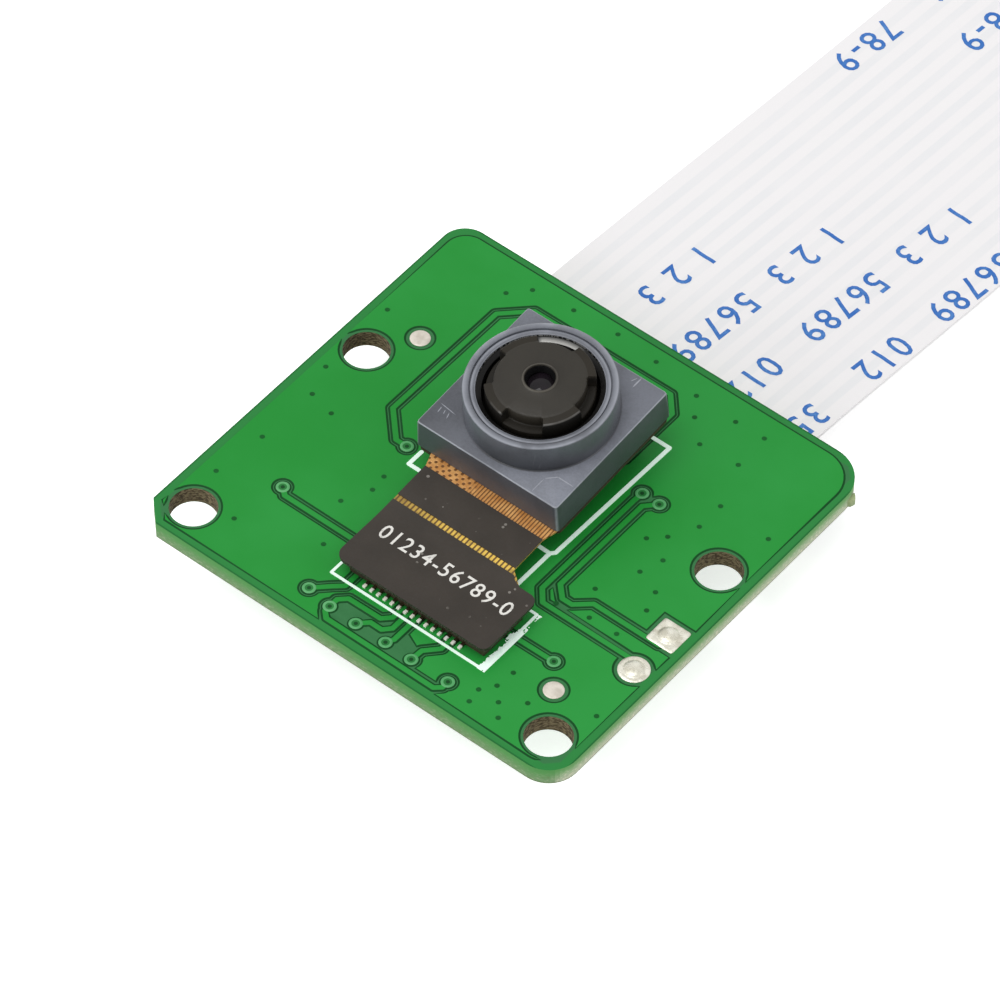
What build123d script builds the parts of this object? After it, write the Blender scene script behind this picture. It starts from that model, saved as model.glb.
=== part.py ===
from build123d import *
import os
from math import asin, atan2, cos, degrees, hypot, radians, sin, tan

os.makedirs("parts", exist_ok=True)

# A small camera module. A green circuit board carries a lens holder with a screwed-in lens on
# its upper side, joined by a short flex to a low board-to-board connector, and a flat ribbon
# leaves a latching connector on its lower side.
# Units are millimetres. The origin is below the middle of the board, on the plane that the
# lowest face of the module stands on. X runs along the front edge, Y runs towards the ribbon,
# and Z points up, the way the lens looks.

# Circuit board
board_width = 24.6
board_depth = 23.6
board_thickness = 1.0
front_right_radius = 1.6
back_right_radius = 2.0
back_left_radius = 1.3
snapped_corner = 1.1
connector_height = 2.6
copper_step = 0.04
copper_margin = 0.45
hole_side_inset = 1.8
hole_spacing_x = board_width - 2 * hole_side_inset
hole_spacing_y = 12.5
hole_radius = 1.15
hole_clear_radius = 1.38
front_hole_inset = 1.84
board_bottom = connector_height
board_top = board_bottom + board_thickness
pattern_y = front_hole_inset - board_depth / 2 + hole_spacing_y / 2

# Copper tracks, their clearance and their vias
track_width = 0.24
track_gap = 0.26
via_pad_radius = 0.3
via_hole_radius = 0.11

# Bare pads
pad_thickness = 0.03
fiducial_radius = 0.5
fiducial_ring = 0.78
header_pitch = 2.54
header_pad = 1.52
header_inset = 1.22
header_x = board_width / 2 - header_inset
header_y = -3.24
header_drill_radius = 0.55
header_barrel_radius = 0.5
solder_height = 0.12

# White print
print_thickness = 0.03
holder_print_width = 0.21
plug_print_width = 0.14
holder_print_left = -4.5
holder_print_right = 4.15
holder_print_back = 6.86
holder_print_front = -1.63

# Board-to-board connector
plug_x = 1.42
plug_y = -6.87
pin_count = 15
pin_pitch = 0.4
pin_width = 0.15
pin_thickness = 0.1
receptacle_length = 7.9
receptacle_depth = 2.8
receptacle_height = 0.65
trough_length = 7.3
trough_depth = 2.1
trough_floor = 0.2
island_length = 6.3
island_depth = 0.5
island_height = 0.55
plug_clearance = 0.05
tail_reach = 0.4
plug_print_left = plug_x - 4.52
plug_print_right = plug_x + 4.35
plug_print_front = plug_y - 2.03
plug_print_back = plug_y + 2.02

# Flex between the lens holder and the connector
flex_core = 0.1
cover_thickness = 0.04
head_height = 1.0
neck_left = -3.15
neck_right = 3.78
head_right = 5.72
head_back = -4.78
head_front = -8.64
wide_window = 0.7
narrow_window_back = -4.06
narrow_window_front = -4.4
flex_left_corner = 0.6
flex_right_corner = 0.4
flex_bend_radius = 8.0
neck_flare = 0.25

# Lens holder, leaning forward on its pad
lean = 5.5
holder_x = -0.1
holder_y = 2.82
holder_base = 1.76
holder_side = 8.4
holder_height = 1.75
holder_draft = 2.6
holder_corner = 0.2
collar_height = 1.65
collar_foot_radius = 3.64
collar_rim_radius = 3.62
rim_step_radius = 3.3
rim_step = 0.09
bore_radius = 2.75
bore_mouth_radius = 3.0
bore_mouth_depth = 0.3
bore_floor = 1.15
ledge_thickness = 0.2
cavity_side = 6.8
light_opening = 4.4
stiffener_thickness = 0.2
stiffener_side = 8.3
pad_side = 6.4
filter_side = 5.6
filter_thickness = 0.3
die_length = 5.9
die_width = 4.8
die_thickness = 0.3
array_length = 3.8
array_width = 2.9
array_thickness = 0.02

# Screwed lens
thread_clearance = 0.05
barrel_radius = bore_radius - thread_clearance
barrel_foot = 1.4
barrel_shoulder = 2.55
tab_height = 3.88
tab_radius = 2.6
disc_radius = 2.15
notch_floor = 3.2
crown_height = 4.05
crown_radius = 0.82
mouth_radius = 0.72
stop_radius = 0.62
tab_width_angle = 44.0
first_tab_angle = -27.0
front_seat_radius = 1.15
middle_seat_radius = 1.6
rear_seat_radius = 2.1
middle_seat = 2.25
rear_seat = 1.75
front_seat = 3.0
front_seat_top = 3.6
ring_height = 0.15
lens_clearance = 0.02

# Ribbon connector on the lower side
zif_mouth = board_depth / 2 - 0.8
zif_depth = 4.1
zif_back = zif_mouth - zif_depth
ribbon_width = 16.0
slot_side_clearance = 0.15
slot_half_width = ribbon_width / 2 + slot_side_clearance
zif_wall = 2.05
zif_half_width = slot_half_width + zif_wall
slot_low = 0.55
slot_high = 1.75
slot_depth = 3.1
contact_count = 15
contact_pitch = 1.0
contact_thickness = 0.3
contact_side_gap = 0.03
contact_foot = 0.18
contact_beam_low = 1.85
contact_beam_high = 2.15
contact_nose = 1.55
contact_foot_reach = 0.7
groove_clearance = 0.1
latch_gap = 0.05
latch_arm_width = 0.6
latch_half_width = zif_half_width + latch_gap + latch_arm_width
latch_bar_depth = 0.7
latch_front = zif_mouth + latch_gap + latch_bar_depth
latch_low = 0.1
latch_bar_high = 1.1
latch_arm_length = 3.55
latch_arm_high = 2.3
tongue_low = 0.62
tongue_high = 1.12
tongue_length = 2.7
tongue_half_width = ribbon_width / 2 - latch_gap
anchor_width = latch_gap + latch_arm_width
anchor_depth = 1.76
anchor_thickness = 0.2

# Ribbon
ribbon_thickness = 0.2
ribbon_level = 1.4
ribbon_start = zif_mouth - 3.0
ribbon_contact_length = 3.6
ribbon_contact_width = 0.7
ribbon_contact_thickness = 0.05
ribbon_stiffener_length = 8.0
ribbon_stiffener_thickness = 0.08
ribbon_route = [
    (ribbon_start, ribbon_level),
    (zif_mouth + 2.0, ribbon_level),
    (36.0, 0.42),
    (82.0, 0.95),
    (122.0, 0.45),
    (158.0, 0.95),
]

# Frame of the lens holder: its base plane, and the upright plane through its axis
lean_up = (0, -sin(radians(lean)), cos(radians(lean)))
holder_plane = Plane(
    origin=(holder_x, holder_y, board_top + holder_base),
    x_dir=(1, 0, 0),
    z_dir=lean_up,
)
section_plane = Plane(
    origin=holder_plane.origin,
    x_dir=(1, 0, 0),
    z_dir=holder_plane.y_dir * -1,
)
lens_axis = Axis(holder_plane.origin, holder_plane.z_dir)


def holder_point(along, above):
    """The Y and Z of a point on the holder's middle plane."""
    y = holder_y + along * cos(radians(lean)) - above * sin(radians(lean))
    z = board_top + holder_base + along * sin(radians(lean)) + above * cos(radians(lean))
    return (y, z)


def rounded_route(points):
    """Corner radii that leave most of each run straight."""
    radii = []
    for before, corner, after in zip(points, points[1:], points[2:]):
        first = atan2(corner[1] - before[1], corner[0] - before[0])
        second = atan2(after[1] - corner[1], after[0] - corner[0])
        run_in = hypot(corner[0] - before[0], corner[1] - before[1])
        run_out = hypot(after[0] - corner[0], after[1] - corner[1])
        radii.append(0.45 * min(run_in, run_out) / tan(abs(second - first) / 2))
    return radii


# Tracks on the upper side of the board, each a list of corners in X and Y
loop_track = [(-5.25, -0.85), (-5.9, -0.85), (-7.25, 0.55), (-7.23, 8.2), (-5.95, 9.47),
              (2.2, 9.5), (3.0, 8.6), (3.0, 5.0)]
left_track = [(-8.1, -6.42), (-7.7, -6.75), (-3.0, -6.75)]
right_track = [(8.0, -6.47), (5.0, -6.5)]
inner_pair_track = [(4.93, 3.9), (4.9, 3.3), (4.9, -3.45), (5.45, -4.1), (header_x, -4.1)]
outer_pair_track = [(5.95, 3.88), (5.4, 3.3), (5.4, -2.75), (6.0, -3.35), (6.55, -3.35),
                    (7.3, -2.68), (header_x, -2.68)]
comb_tracks = [
    [(-3.3, -10.25), (-2.55, -9.5), (-2.1, -9.1), (-2.1, -8.2)],
    [(-1.88, -10.48), (-1.88, -9.95), (-1.5, -9.58), (0.35, -9.55), (0.75, -9.15), (0.75, -8.2)],
    [(-0.32, -10.5), (0.15, -10.02), (0.8, -10.02), (1.15, -9.65), (1.15, -8.2)],
    [(1.42, -10.48), (1.62, -10.1), (1.62, -8.2)],
    [(2.95, -10.5), (3.0, -9.8), (3.6, -9.15), (3.6, -8.2)],
    [(5.05, -10.45), (5.05, -10.85), (4.75, -11.12), (-1.55, -11.12), (-1.88, -10.8), (-1.88, -10.48)],
]
tracks = [loop_track, left_track, right_track, inner_pair_track, outer_pair_track] + comb_tracks
vias = [(-5.25, -0.85), (-8.1, -6.42), (8.0, -6.47), (4.93, 3.9), (5.95, 3.88), (-3.3, -10.25),
        (-1.88, -10.48), (-0.32, -10.5), (1.42, -10.48), (2.95, -10.5), (5.05, -10.45)]
holder_print_strokes = [
    [(holder_print_left, holder_print_front + 0.93), (holder_print_left, holder_print_front),
     (holder_print_left + 0.65, holder_print_front)],
    [(holder_print_right - 0.9, holder_print_back), (holder_print_right + 0.07, holder_print_back),
     (holder_print_right - 0.07, holder_print_front + 0.18),
     (holder_print_right - 0.25, holder_print_front - 0.02), (holder_print_right - 1.05, holder_print_front)],
    [(holder_print_right - 0.25, holder_print_front), (holder_print_right - 0.25, holder_print_front - 2.75)],
]
plug_print_stroke = [
    (plug_print_left, plug_print_front + 0.88), (plug_print_left, plug_print_front),
    (plug_print_right, plug_print_front), (plug_print_right - 0.05, plug_print_back),
    (plug_print_right - 0.6, plug_print_back),
]
comb_hollow = [(-1.6, -10.85), (-1.6, -9.75), (-0.2, -9.75), (2.0, -9.4), (2.75, -9.75), (3.3, -10.85)]
fiducials = [(-9.03, 4.72), (9.02, -7.75)]
square_pad_y = header_y + header_pitch / 2
round_pad_y = header_y - header_pitch / 2
rounded_corners = [(1, -1, front_right_radius), (1, 1, back_right_radius), (-1, 1, back_left_radius)]


def board_outline(inset):
    """Draw the board's outline, drawn in by an inset, in the sketch that is open."""
    outline = Rectangle(board_width - 2 * inset, board_depth - 2 * inset)
    for right, back, radius in rounded_corners:
        corner = outline.vertices().sort_by(lambda point: right * point.X + back * point.Y)[-1]
        outline = fillet(corner, radius=radius - inset / 2)
    snapped = outline.vertices().sort_by(lambda point: point.X + point.Y)[0]
    chamfer(snapped, length=snapped_corner - 0.6 * inset)


def track_band(points, width, mode):
    """Draw a round-ended track of one width in the sketch that is open."""
    for start, end in zip(points, points[1:]):
        run = hypot(end[0] - start[0], end[1] - start[1])
        heading = degrees(atan2(end[1] - start[1], end[0] - start[0]))
        with Locations(((start[0] + end[0]) / 2, (start[1] + end[1]) / 2)):
            SlotCenterToCenter(run, width, rotation=heading, mode=mode)


with BuildPart() as circuit_board:
    with BuildSketch(Plane.XY.offset(board_bottom)):
        board_outline(0)
        with Locations((0, pattern_y)):
            with GridLocations(hole_spacing_x, hole_spacing_y, 2, 2):
                Circle(hole_radius, mode=Mode.SUBTRACT)
        with Locations((header_x, square_pad_y), (header_x, round_pad_y)):
            Circle(header_drill_radius, mode=Mode.SUBTRACT)
    extrude(amount=board_thickness - copper_step)
    # The copper under the green coat stands a little above the bare laminate
    with BuildSketch(Plane.XY.offset(board_top - copper_step)):
        board_outline(copper_margin)
        with Locations((0, pattern_y)):
            with GridLocations(hole_spacing_x, hole_spacing_y, 2, 2):
                Circle(hole_clear_radius, mode=Mode.SUBTRACT)
        for track in tracks:
            track_band(track, track_width + 2 * track_gap, Mode.SUBTRACT)
        with BuildLine():
            Polyline(*comb_hollow, close=True)
        make_face(mode=Mode.SUBTRACT)
        with Locations(*vias):
            Circle(via_pad_radius + track_gap, mode=Mode.SUBTRACT)
        with Locations(*fiducials):
            Circle(fiducial_ring, mode=Mode.SUBTRACT)
        with Locations((header_x, square_pad_y)):
            Rectangle(header_pad + 2 * track_gap, header_pad + 2 * track_gap, mode=Mode.SUBTRACT)
        with Locations((header_x, round_pad_y)):
            Circle(header_pad / 2 + track_gap, mode=Mode.SUBTRACT)
        for track in tracks:
            track_band(track, track_width, Mode.ADD)
        with Locations(*vias):
            Circle(via_pad_radius)
        with Locations(*vias):
            Circle(via_hole_radius, mode=Mode.SUBTRACT)
        with Locations((header_x, square_pad_y)):
            Rectangle(header_pad, header_pad, mode=Mode.SUBTRACT)
        with Locations((header_x, round_pad_y)):
            Circle(header_pad / 2, mode=Mode.SUBTRACT)
    extrude(amount=copper_step)
circuit_board.part.label = "circuit_board"
export_step(circuit_board.part, "parts/circuit_board.step")

with BuildPart() as fiducial_marks:
    with BuildSketch(Plane.XY.offset(board_top - copper_step)):
        with Locations(*fiducials):
            Circle(fiducial_radius)
    extrude(amount=pad_thickness)
fiducial_marks.part.label = "fiducial_marks"
export_step(fiducial_marks.part, "parts/fiducial_marks.step")

# Square and round pad, each a pair of faces joined by a plated barrel
with BuildPart() as header_pads:
    with BuildSketch(Plane.XY.offset(board_top - copper_step)):
        with Locations((header_x, square_pad_y)):
            Rectangle(header_pad, header_pad)
        with Locations((header_x, round_pad_y)):
            Circle(header_pad / 2)
    extrude(amount=copper_step)
    with BuildSketch(Plane.XY.offset(board_bottom)):
        with Locations((header_x, square_pad_y)):
            Rectangle(header_pad, header_pad)
        with Locations((header_x, round_pad_y)):
            Circle(header_pad / 2)
    extrude(amount=-copper_step)
    with BuildSketch(Plane.XY.offset(board_bottom)):
        with Locations((header_x, square_pad_y), (header_x, round_pad_y)):
            Circle(header_drill_radius)
    extrude(amount=board_thickness)
    with BuildSketch(Plane.XY.offset(board_bottom - copper_step)):
        with Locations((header_x, square_pad_y), (header_x, round_pad_y)):
            Circle(header_barrel_radius)
    extrude(amount=board_thickness + 2 * copper_step, mode=Mode.SUBTRACT)
header_pads.part.label = "header_pads"
export_step(header_pads.part, "parts/header_pads.step")

with BuildPart() as header_solder:
    with BuildSketch(Plane.XY.offset(board_bottom - solder_height)):
        with Locations((header_x, square_pad_y), (header_x, round_pad_y)):
            Circle(header_barrel_radius)
    extrude(amount=board_thickness + 2 * solder_height)
    ends = header_solder.faces().filter_by(Axis.Z)
    fillet(ends.edges(), radius=solder_height * 0.9)
header_solder.part.label = "header_solder"
export_step(header_solder.part, "parts/header_solder.step")

# White printed outlines of the lens holder and of the connector
with BuildPart() as board_print:
    with BuildSketch(Plane.XY.offset(board_top)):
        for stroke in holder_print_strokes:
            track_band(stroke, holder_print_width, Mode.ADD)
        track_band(plug_print_stroke, plug_print_width, Mode.ADD)
    extrude(amount=print_thickness)
board_print.part.label = "board_print"
export_step(board_print.part, "parts/board_print.step")

# Board-to-board receptacle: a trough round a middle island, with a contact behind each slot
pin_row_length = (pin_count - 1) * pin_pitch
with BuildPart() as flex_receptacle:
    with BuildSketch(Plane.XY.offset(board_top)):
        with Locations((plug_x, plug_y)):
            Rectangle(receptacle_length, receptacle_depth)
    extrude(amount=receptacle_height)
    with BuildSketch(Plane.XY.offset(board_top + trough_floor)):
        with Locations((plug_x, plug_y)):
            Rectangle(trough_length, trough_depth)
            Rectangle(island_length, island_depth, mode=Mode.SUBTRACT)
    extrude(amount=receptacle_height, mode=Mode.SUBTRACT)
    with BuildSketch(Plane.XY.offset(board_top + island_height)):
        with Locations((plug_x, plug_y)):
            Rectangle(island_length + 0.1, island_depth + 0.1)
    extrude(amount=receptacle_height, mode=Mode.SUBTRACT)
    with BuildSketch(Plane.XY.offset(board_top)):
        with Locations((plug_x, plug_y)):
            with GridLocations(pin_pitch, receptacle_depth - pin_thickness, pin_count, 2):
                Rectangle(pin_width, pin_thickness)
    extrude(amount=receptacle_height - 0.1, mode=Mode.SUBTRACT)
flex_receptacle.part.label = "flex_receptacle"
export_step(flex_receptacle.part, "parts/flex_receptacle.step")

with BuildPart() as receptacle_contacts:
    with BuildSketch(Plane.XY.offset(board_top)):
        with Locations((plug_x, plug_y)):
            with GridLocations(pin_pitch, receptacle_depth + tail_reach, pin_count, 2):
                Rectangle(pin_width, tail_reach)
    extrude(amount=pin_thickness)
    with BuildSketch(Plane.XY.offset(board_top)):
        with Locations((plug_x, plug_y)):
            with GridLocations(pin_pitch, receptacle_depth - pin_thickness, pin_count, 2):
                Rectangle(pin_width, pin_thickness)
    extrude(amount=receptacle_height - 0.1)
receptacle_contacts.part.label = "receptacle_contacts"
export_step(receptacle_contacts.part, "parts/receptacle_contacts.step")

# Plug under the head of the flex, pressed down over the island
flex_underside = board_top + head_height - 2 * cover_thickness - flex_core
plug_foot = board_top + trough_floor + plug_clearance
with BuildPart() as flex_plug:
    with BuildSketch(Plane.XY.offset(plug_foot)):
        with Locations((plug_x, plug_y)):
            Rectangle(trough_length - 2 * plug_clearance, trough_depth - 2 * plug_clearance)
    extrude(amount=flex_underside - plug_foot)
    with BuildSketch(Plane.XY.offset(plug_foot)):
        with Locations((plug_x, plug_y)):
            Rectangle(island_length + 2 * plug_clearance, island_depth + 2 * plug_clearance)
    extrude(amount=island_height - trough_floor, mode=Mode.SUBTRACT)
    with BuildSketch(Plane.XY.offset(plug_foot + 0.1)):
        with Locations((plug_x, plug_y)):
            with GridLocations(pin_pitch, trough_depth - 2 * plug_clearance - pin_thickness,
                               pin_count, 2):
                Rectangle(pin_width, pin_thickness)
    extrude(amount=flex_underside, mode=Mode.SUBTRACT)
flex_plug.part.label = "flex_plug"
export_step(flex_plug.part, "parts/flex_plug.step")

with BuildPart() as plug_contacts:
    with BuildSketch(Plane.XY.offset(plug_foot + 0.1)):
        with Locations((plug_x, plug_y)):
            with GridLocations(pin_pitch, trough_depth - 2 * plug_clearance - pin_thickness,
                               pin_count, 2):
                Rectangle(pin_width, pin_thickness)
    extrude(amount=flex_underside - plug_foot - 0.1)
    with BuildSketch(Plane.XY.offset(flex_underside)):
        with Locations((plug_x, plug_y)):
            with GridLocations(pin_pitch, trough_depth - 2 * plug_clearance + tail_reach - 0.1,
                               pin_count, 2):
                Rectangle(pin_width, tail_reach)
    extrude(amount=-pin_thickness)
plug_contacts.part.label = "plug_contacts"
export_step(plug_contacts.part, "parts/plug_contacts.step")

# Flex: it lies against the base of the holder, slopes down in front of it and levels out
core_middle = -flex_core / 2
head_level = board_top + head_height - cover_thickness - flex_core / 2
holder_front_y = holder_point(-holder_side / 2, 0)[0]
slope_back = holder_point(holder_side / 2 - 0.05, core_middle)
slope_front = holder_point(-holder_side / 2, core_middle)
level_y = slope_front[0] - (slope_front[1] - head_level) / tan(radians(lean))


def flex_band(offset, thickness, back_y, front_y):
    """A bent layer of the flex, a given height above its middle, between two Y values."""
    with BuildPart() as layer:
        with BuildSketch(Plane.YZ):
            back = (slope_back[0] - offset * sin(radians(lean)),
                    slope_back[1] + offset * cos(radians(lean)))
            bend = (level_y - offset * tan(radians(lean / 2)), head_level + offset)
            with BuildLine():
                line = FilletPolyline(back, bend, (head_front, head_level + offset), radius=flex_bend_radius)
            trace(line, line_width=thickness)
        extrude(amount=holder_side, both=True)
        with BuildSketch(Plane.XY.offset(board_bottom)):
            with Locations((0, (back_y + front_y) / 2)):
                Rectangle(2 * holder_side, back_y - front_y)
        extrude(amount=holder_side, mode=Mode.INTERSECT)
    return layer.part


window_front = holder_front_y - wide_window
flex_outline = [
    (holder_x - stiffener_side / 2, slope_back[0] + 0.5),
    (holder_x - stiffener_side / 2, holder_front_y),
    (neck_left - neck_flare, holder_front_y),
    (neck_left, window_front),
    (neck_left, head_front),
    (head_right, head_front),
    (head_right, head_back),
    (neck_right + 0.85, head_back),
    (neck_right, narrow_window_back - 0.08),
    (neck_right, window_front),
    (neck_right + neck_flare, holder_front_y),
    (holder_x + stiffener_side / 2, holder_front_y),
    (holder_x + stiffener_side / 2, slope_back[0] + 0.5),
]


def flex_plan(plan):
    """Draw the flex's outline, seen from above, in a sketch that is open."""
    with BuildLine() as border:
        Polyline(*flex_outline, close=True)
    make_face(border.edges())
    left_corner = [c for c in plan.vertices() if c.Y < head_front + 0.1 and c.X < 0]
    fillet(left_corner, radius=flex_left_corner)
    right_corners = [c for c in plan.vertices() if c.X > head_right - 0.1]
    fillet(right_corners, radius=flex_right_corner)


with BuildPart() as sensor_flex:
    add(flex_band(0, flex_core, slope_back[0], head_front))
    with BuildSketch(Plane.XY.offset(board_bottom)) as flex_shape:
        flex_plan(flex_shape)
    extrude(amount=holder_side, mode=Mode.INTERSECT)
sensor_flex.part.label = "sensor_flex"
export_step(sensor_flex.part, "parts/sensor_flex.step")

cover_offset = (flex_core + cover_thickness) / 2
with BuildPart() as flex_covers:
    add(flex_band(cover_offset, cover_thickness, window_front, narrow_window_back))
    add(flex_band(cover_offset, cover_thickness, narrow_window_front, head_front))
    add(flex_band(-cover_offset, cover_thickness, holder_front_y - 0.1, head_front))
    with BuildSketch(Plane.XY.offset(board_bottom)) as cover_shape:
        flex_plan(cover_shape)
    extrude(amount=holder_side, mode=Mode.INTERSECT)
flex_covers.part.label = "flex_covers"
export_step(flex_covers.part, "parts/flex_covers.step")

with BuildPart() as holder_stiffener:
    with BuildSketch(holder_plane.offset(-flex_core)):
        RectangleRounded(stiffener_side, stiffener_side, 0.3)
    extrude(amount=-stiffener_thickness)
holder_stiffener.part.label = "holder_stiffener"
export_step(holder_stiffener.part, "parts/holder_stiffener.step")

# Foam pad, squeezed thinner towards the flex
pad_roof = -flex_core - stiffener_thickness
pad_back = holder_point(pad_side / 2, pad_roof)
pad_front = holder_point(-pad_side / 2, pad_roof)
with BuildPart() as foam_pad:
    with BuildSketch(Plane.YZ.offset(holder_x)):
        with BuildLine():
            Polyline(pad_back, pad_front, (pad_front[0], board_top), (pad_back[0], board_top), close=True)
        make_face()
    extrude(amount=pad_side / 2, both=True)
foam_pad.part.label = "foam_pad"
export_step(foam_pad.part, "parts/foam_pad.step")

with BuildPart() as image_sensor:
    with BuildSketch(holder_plane):
        Rectangle(die_length, die_width)
    extrude(amount=die_thickness)
image_sensor.part.label = "image_sensor"
export_step(image_sensor.part, "parts/image_sensor.step")

with BuildPart() as pixel_array:
    with BuildSketch(holder_plane.offset(die_thickness)):
        Rectangle(array_length, array_width)
    extrude(amount=array_thickness)
pixel_array.part.label = "pixel_array"
export_step(pixel_array.part, "parts/pixel_array.step")

ledge_low = bore_floor - ledge_thickness
with BuildPart() as infrared_filter:
    with BuildSketch(holder_plane.offset(ledge_low - filter_thickness)):
        Rectangle(filter_side, filter_side)
    extrude(amount=filter_thickness)
infrared_filter.part.label = "infrared_filter"
export_step(infrared_filter.part, "parts/infrared_filter.step")

# Lens holder: a square box with a tapered collar
rim_height = holder_height + collar_height
with BuildPart() as lens_holder:
    with BuildSketch(holder_plane):
        RectangleRounded(holder_side, holder_side, holder_corner)
    extrude(amount=holder_height, taper=holder_draft)
    upper_faces = lens_holder.faces().sort_by(lens_axis)
    fillet(upper_faces[-1].edges(), radius=0.07)
    with BuildSketch(section_plane):
        with BuildLine():
            Polyline(
                (0, holder_height - 0.3),
                (collar_foot_radius, holder_height - 0.3),
                (collar_foot_radius, holder_height),
                (collar_rim_radius, rim_height - 0.06),
                (collar_rim_radius - 0.06, rim_height),
                (rim_step_radius, rim_height),
                (rim_step_radius - 0.03, rim_height - rim_step),
                (0, rim_height - rim_step),
                close=True,
            )
        make_face()
    revolve(axis=lens_axis)
    with BuildSketch(section_plane):
        with BuildLine():
            Polyline(
                (0, bore_floor),
                (bore_radius, bore_floor),
                (bore_radius, rim_height - bore_mouth_depth),
                (bore_mouth_radius, rim_height - bore_mouth_depth + 0.12),
                (bore_mouth_radius, rim_height + 0.2),
                (0, rim_height + 0.2),
                close=True,
            )
        make_face()
    revolve(axis=lens_axis, mode=Mode.SUBTRACT)
    with BuildSketch(holder_plane):
        Rectangle(cavity_side, cavity_side)
    extrude(amount=ledge_low, mode=Mode.SUBTRACT)
    with BuildSketch(holder_plane):
        RectangleRounded(light_opening, light_opening, 0.4)
    extrude(amount=bore_floor + 0.1, mode=Mode.SUBTRACT)
lens_holder.part.label = "lens_holder"
export_step(lens_holder.part, "parts/lens_holder.step")

# Lens barrel: a castle-topped screw with seats for three lenses
with BuildPart() as lens_barrel:
    with BuildSketch(section_plane):
        with BuildLine():
            Polyline(
                (0, barrel_foot),
                (barrel_radius - 0.1, barrel_foot),
                (barrel_radius, barrel_foot + 0.1),
                (barrel_radius, barrel_shoulder - 0.1),
                (tab_radius, barrel_shoulder),
                (tab_radius, tab_height - 0.05),
                (tab_radius - 0.05, tab_height),
                (disc_radius, tab_height),
                (crown_radius, crown_height),
                (0, crown_height),
                close=True,
            )
        make_face()
    revolve(axis=lens_axis)
    with BuildSketch(holder_plane.offset(notch_floor)):
        Circle(tab_radius + 0.1)
        Circle(disc_radius, mode=Mode.SUBTRACT)
        for tab in range(4):
            spread = radians(tab_width_angle / 2)
            middle = radians(first_tab_angle + 90 * tab)
            with BuildLine() as tab_border:
                Polyline(
                    (0, 0),
                    (4 * cos(middle - spread), 4 * sin(middle - spread)),
                    (4 * cos(middle + spread), 4 * sin(middle + spread)),
                    close=True,
                )
            make_face(tab_border.edges(), mode=Mode.SUBTRACT)
    extrude(amount=crown_height, mode=Mode.SUBTRACT)
    with BuildSketch(section_plane):
        with BuildLine():
            Polyline(
                (0, barrel_foot - 0.1),
                (rear_seat_radius, barrel_foot - 0.1),
                (rear_seat_radius, middle_seat),
                (middle_seat_radius, middle_seat),
                (middle_seat_radius, front_seat),
                (front_seat_radius, front_seat),
                (front_seat_radius, front_seat_top),
                (stop_radius, front_seat_top),
                (stop_radius, front_seat_top + 0.08),
                (mouth_radius, crown_height - 0.05),
                (mouth_radius + 0.06, crown_height + 0.05),
                (0, crown_height + 0.05),
                close=True,
            )
        make_face()
    revolve(axis=lens_axis, mode=Mode.SUBTRACT)
lens_barrel.part.label = "lens_barrel"
export_step(lens_barrel.part, "parts/lens_barrel.step")


def lens_face(radius, edge, sag):
    """Draw half of a round lens face, from the axis out to its edge, in an open line."""
    ball = (radius ** 2 + sag ** 2) / (2 * sag)
    turn = asin(radius / ball) / 2
    halfway = (ball * sin(turn), edge + sag - ball + ball * cos(turn))
    ThreePointArc((0, edge + sag), halfway, (radius, edge))


def lens_profile(radius, low, high, sag_low, sag_high):
    """Draw half of a lens section: a flat rim with a bulge or a hollow on each face."""
    with BuildLine() as section:
        Line((0, low + sag_low), (0, high + sag_high))
        lens_face(radius * 0.9, high, sag_high)
        Polyline((radius * 0.9, high), (radius, high), (radius, low), (radius * 0.9, low))
        lens_face(radius * 0.9, low, sag_low)
    make_face(section.edges())


with BuildPart() as front_lens:
    with BuildSketch(section_plane):
        lens_profile(front_seat_radius - lens_clearance, front_seat + 0.15, front_seat_top - 0.12, -0.05, 0.1)
    revolve(axis=lens_axis)
front_lens.part.label = "front_lens"
export_step(front_lens.part, "parts/front_lens.step")

with BuildPart() as middle_lens:
    with BuildSketch(section_plane):
        lens_profile(middle_seat_radius - lens_clearance, middle_seat + 0.1, front_seat - 0.05, -0.06, -0.08)
    revolve(axis=lens_axis)
middle_lens.part.label = "middle_lens"
export_step(middle_lens.part, "parts/middle_lens.step")

with BuildPart() as rear_lens:
    with BuildSketch(section_plane):
        lens_profile(rear_seat_radius - lens_clearance, rear_seat, middle_seat - 0.05, 0.05, -0.1)
    revolve(axis=lens_axis)
rear_lens.part.label = "rear_lens"
export_step(rear_lens.part, "parts/rear_lens.step")

with BuildPart() as lens_spacers:
    with BuildSketch(holder_plane.offset(front_seat + 0.02)):
        Circle(front_seat_radius - lens_clearance)
        Circle(front_seat_radius * 0.85, mode=Mode.SUBTRACT)
    extrude(amount=0.1)
    with BuildSketch(holder_plane.offset(middle_seat)):
        Circle(middle_seat_radius - lens_clearance)
        Circle(middle_seat_radius * 0.85, mode=Mode.SUBTRACT)
    extrude(amount=0.08)
lens_spacers.part.label = "lens_spacers"
export_step(lens_spacers.part, "parts/lens_spacers.step")

with BuildPart() as lens_retainer:
    with BuildSketch(holder_plane.offset(rear_seat - 0.05 - ring_height)):
        Circle(rear_seat_radius - lens_clearance)
        Circle(rear_seat_radius * 0.85, mode=Mode.SUBTRACT)
    extrude(amount=ring_height)
lens_retainer.part.label = "lens_retainer"
export_step(lens_retainer.part, "parts/lens_retainer.step")

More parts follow.
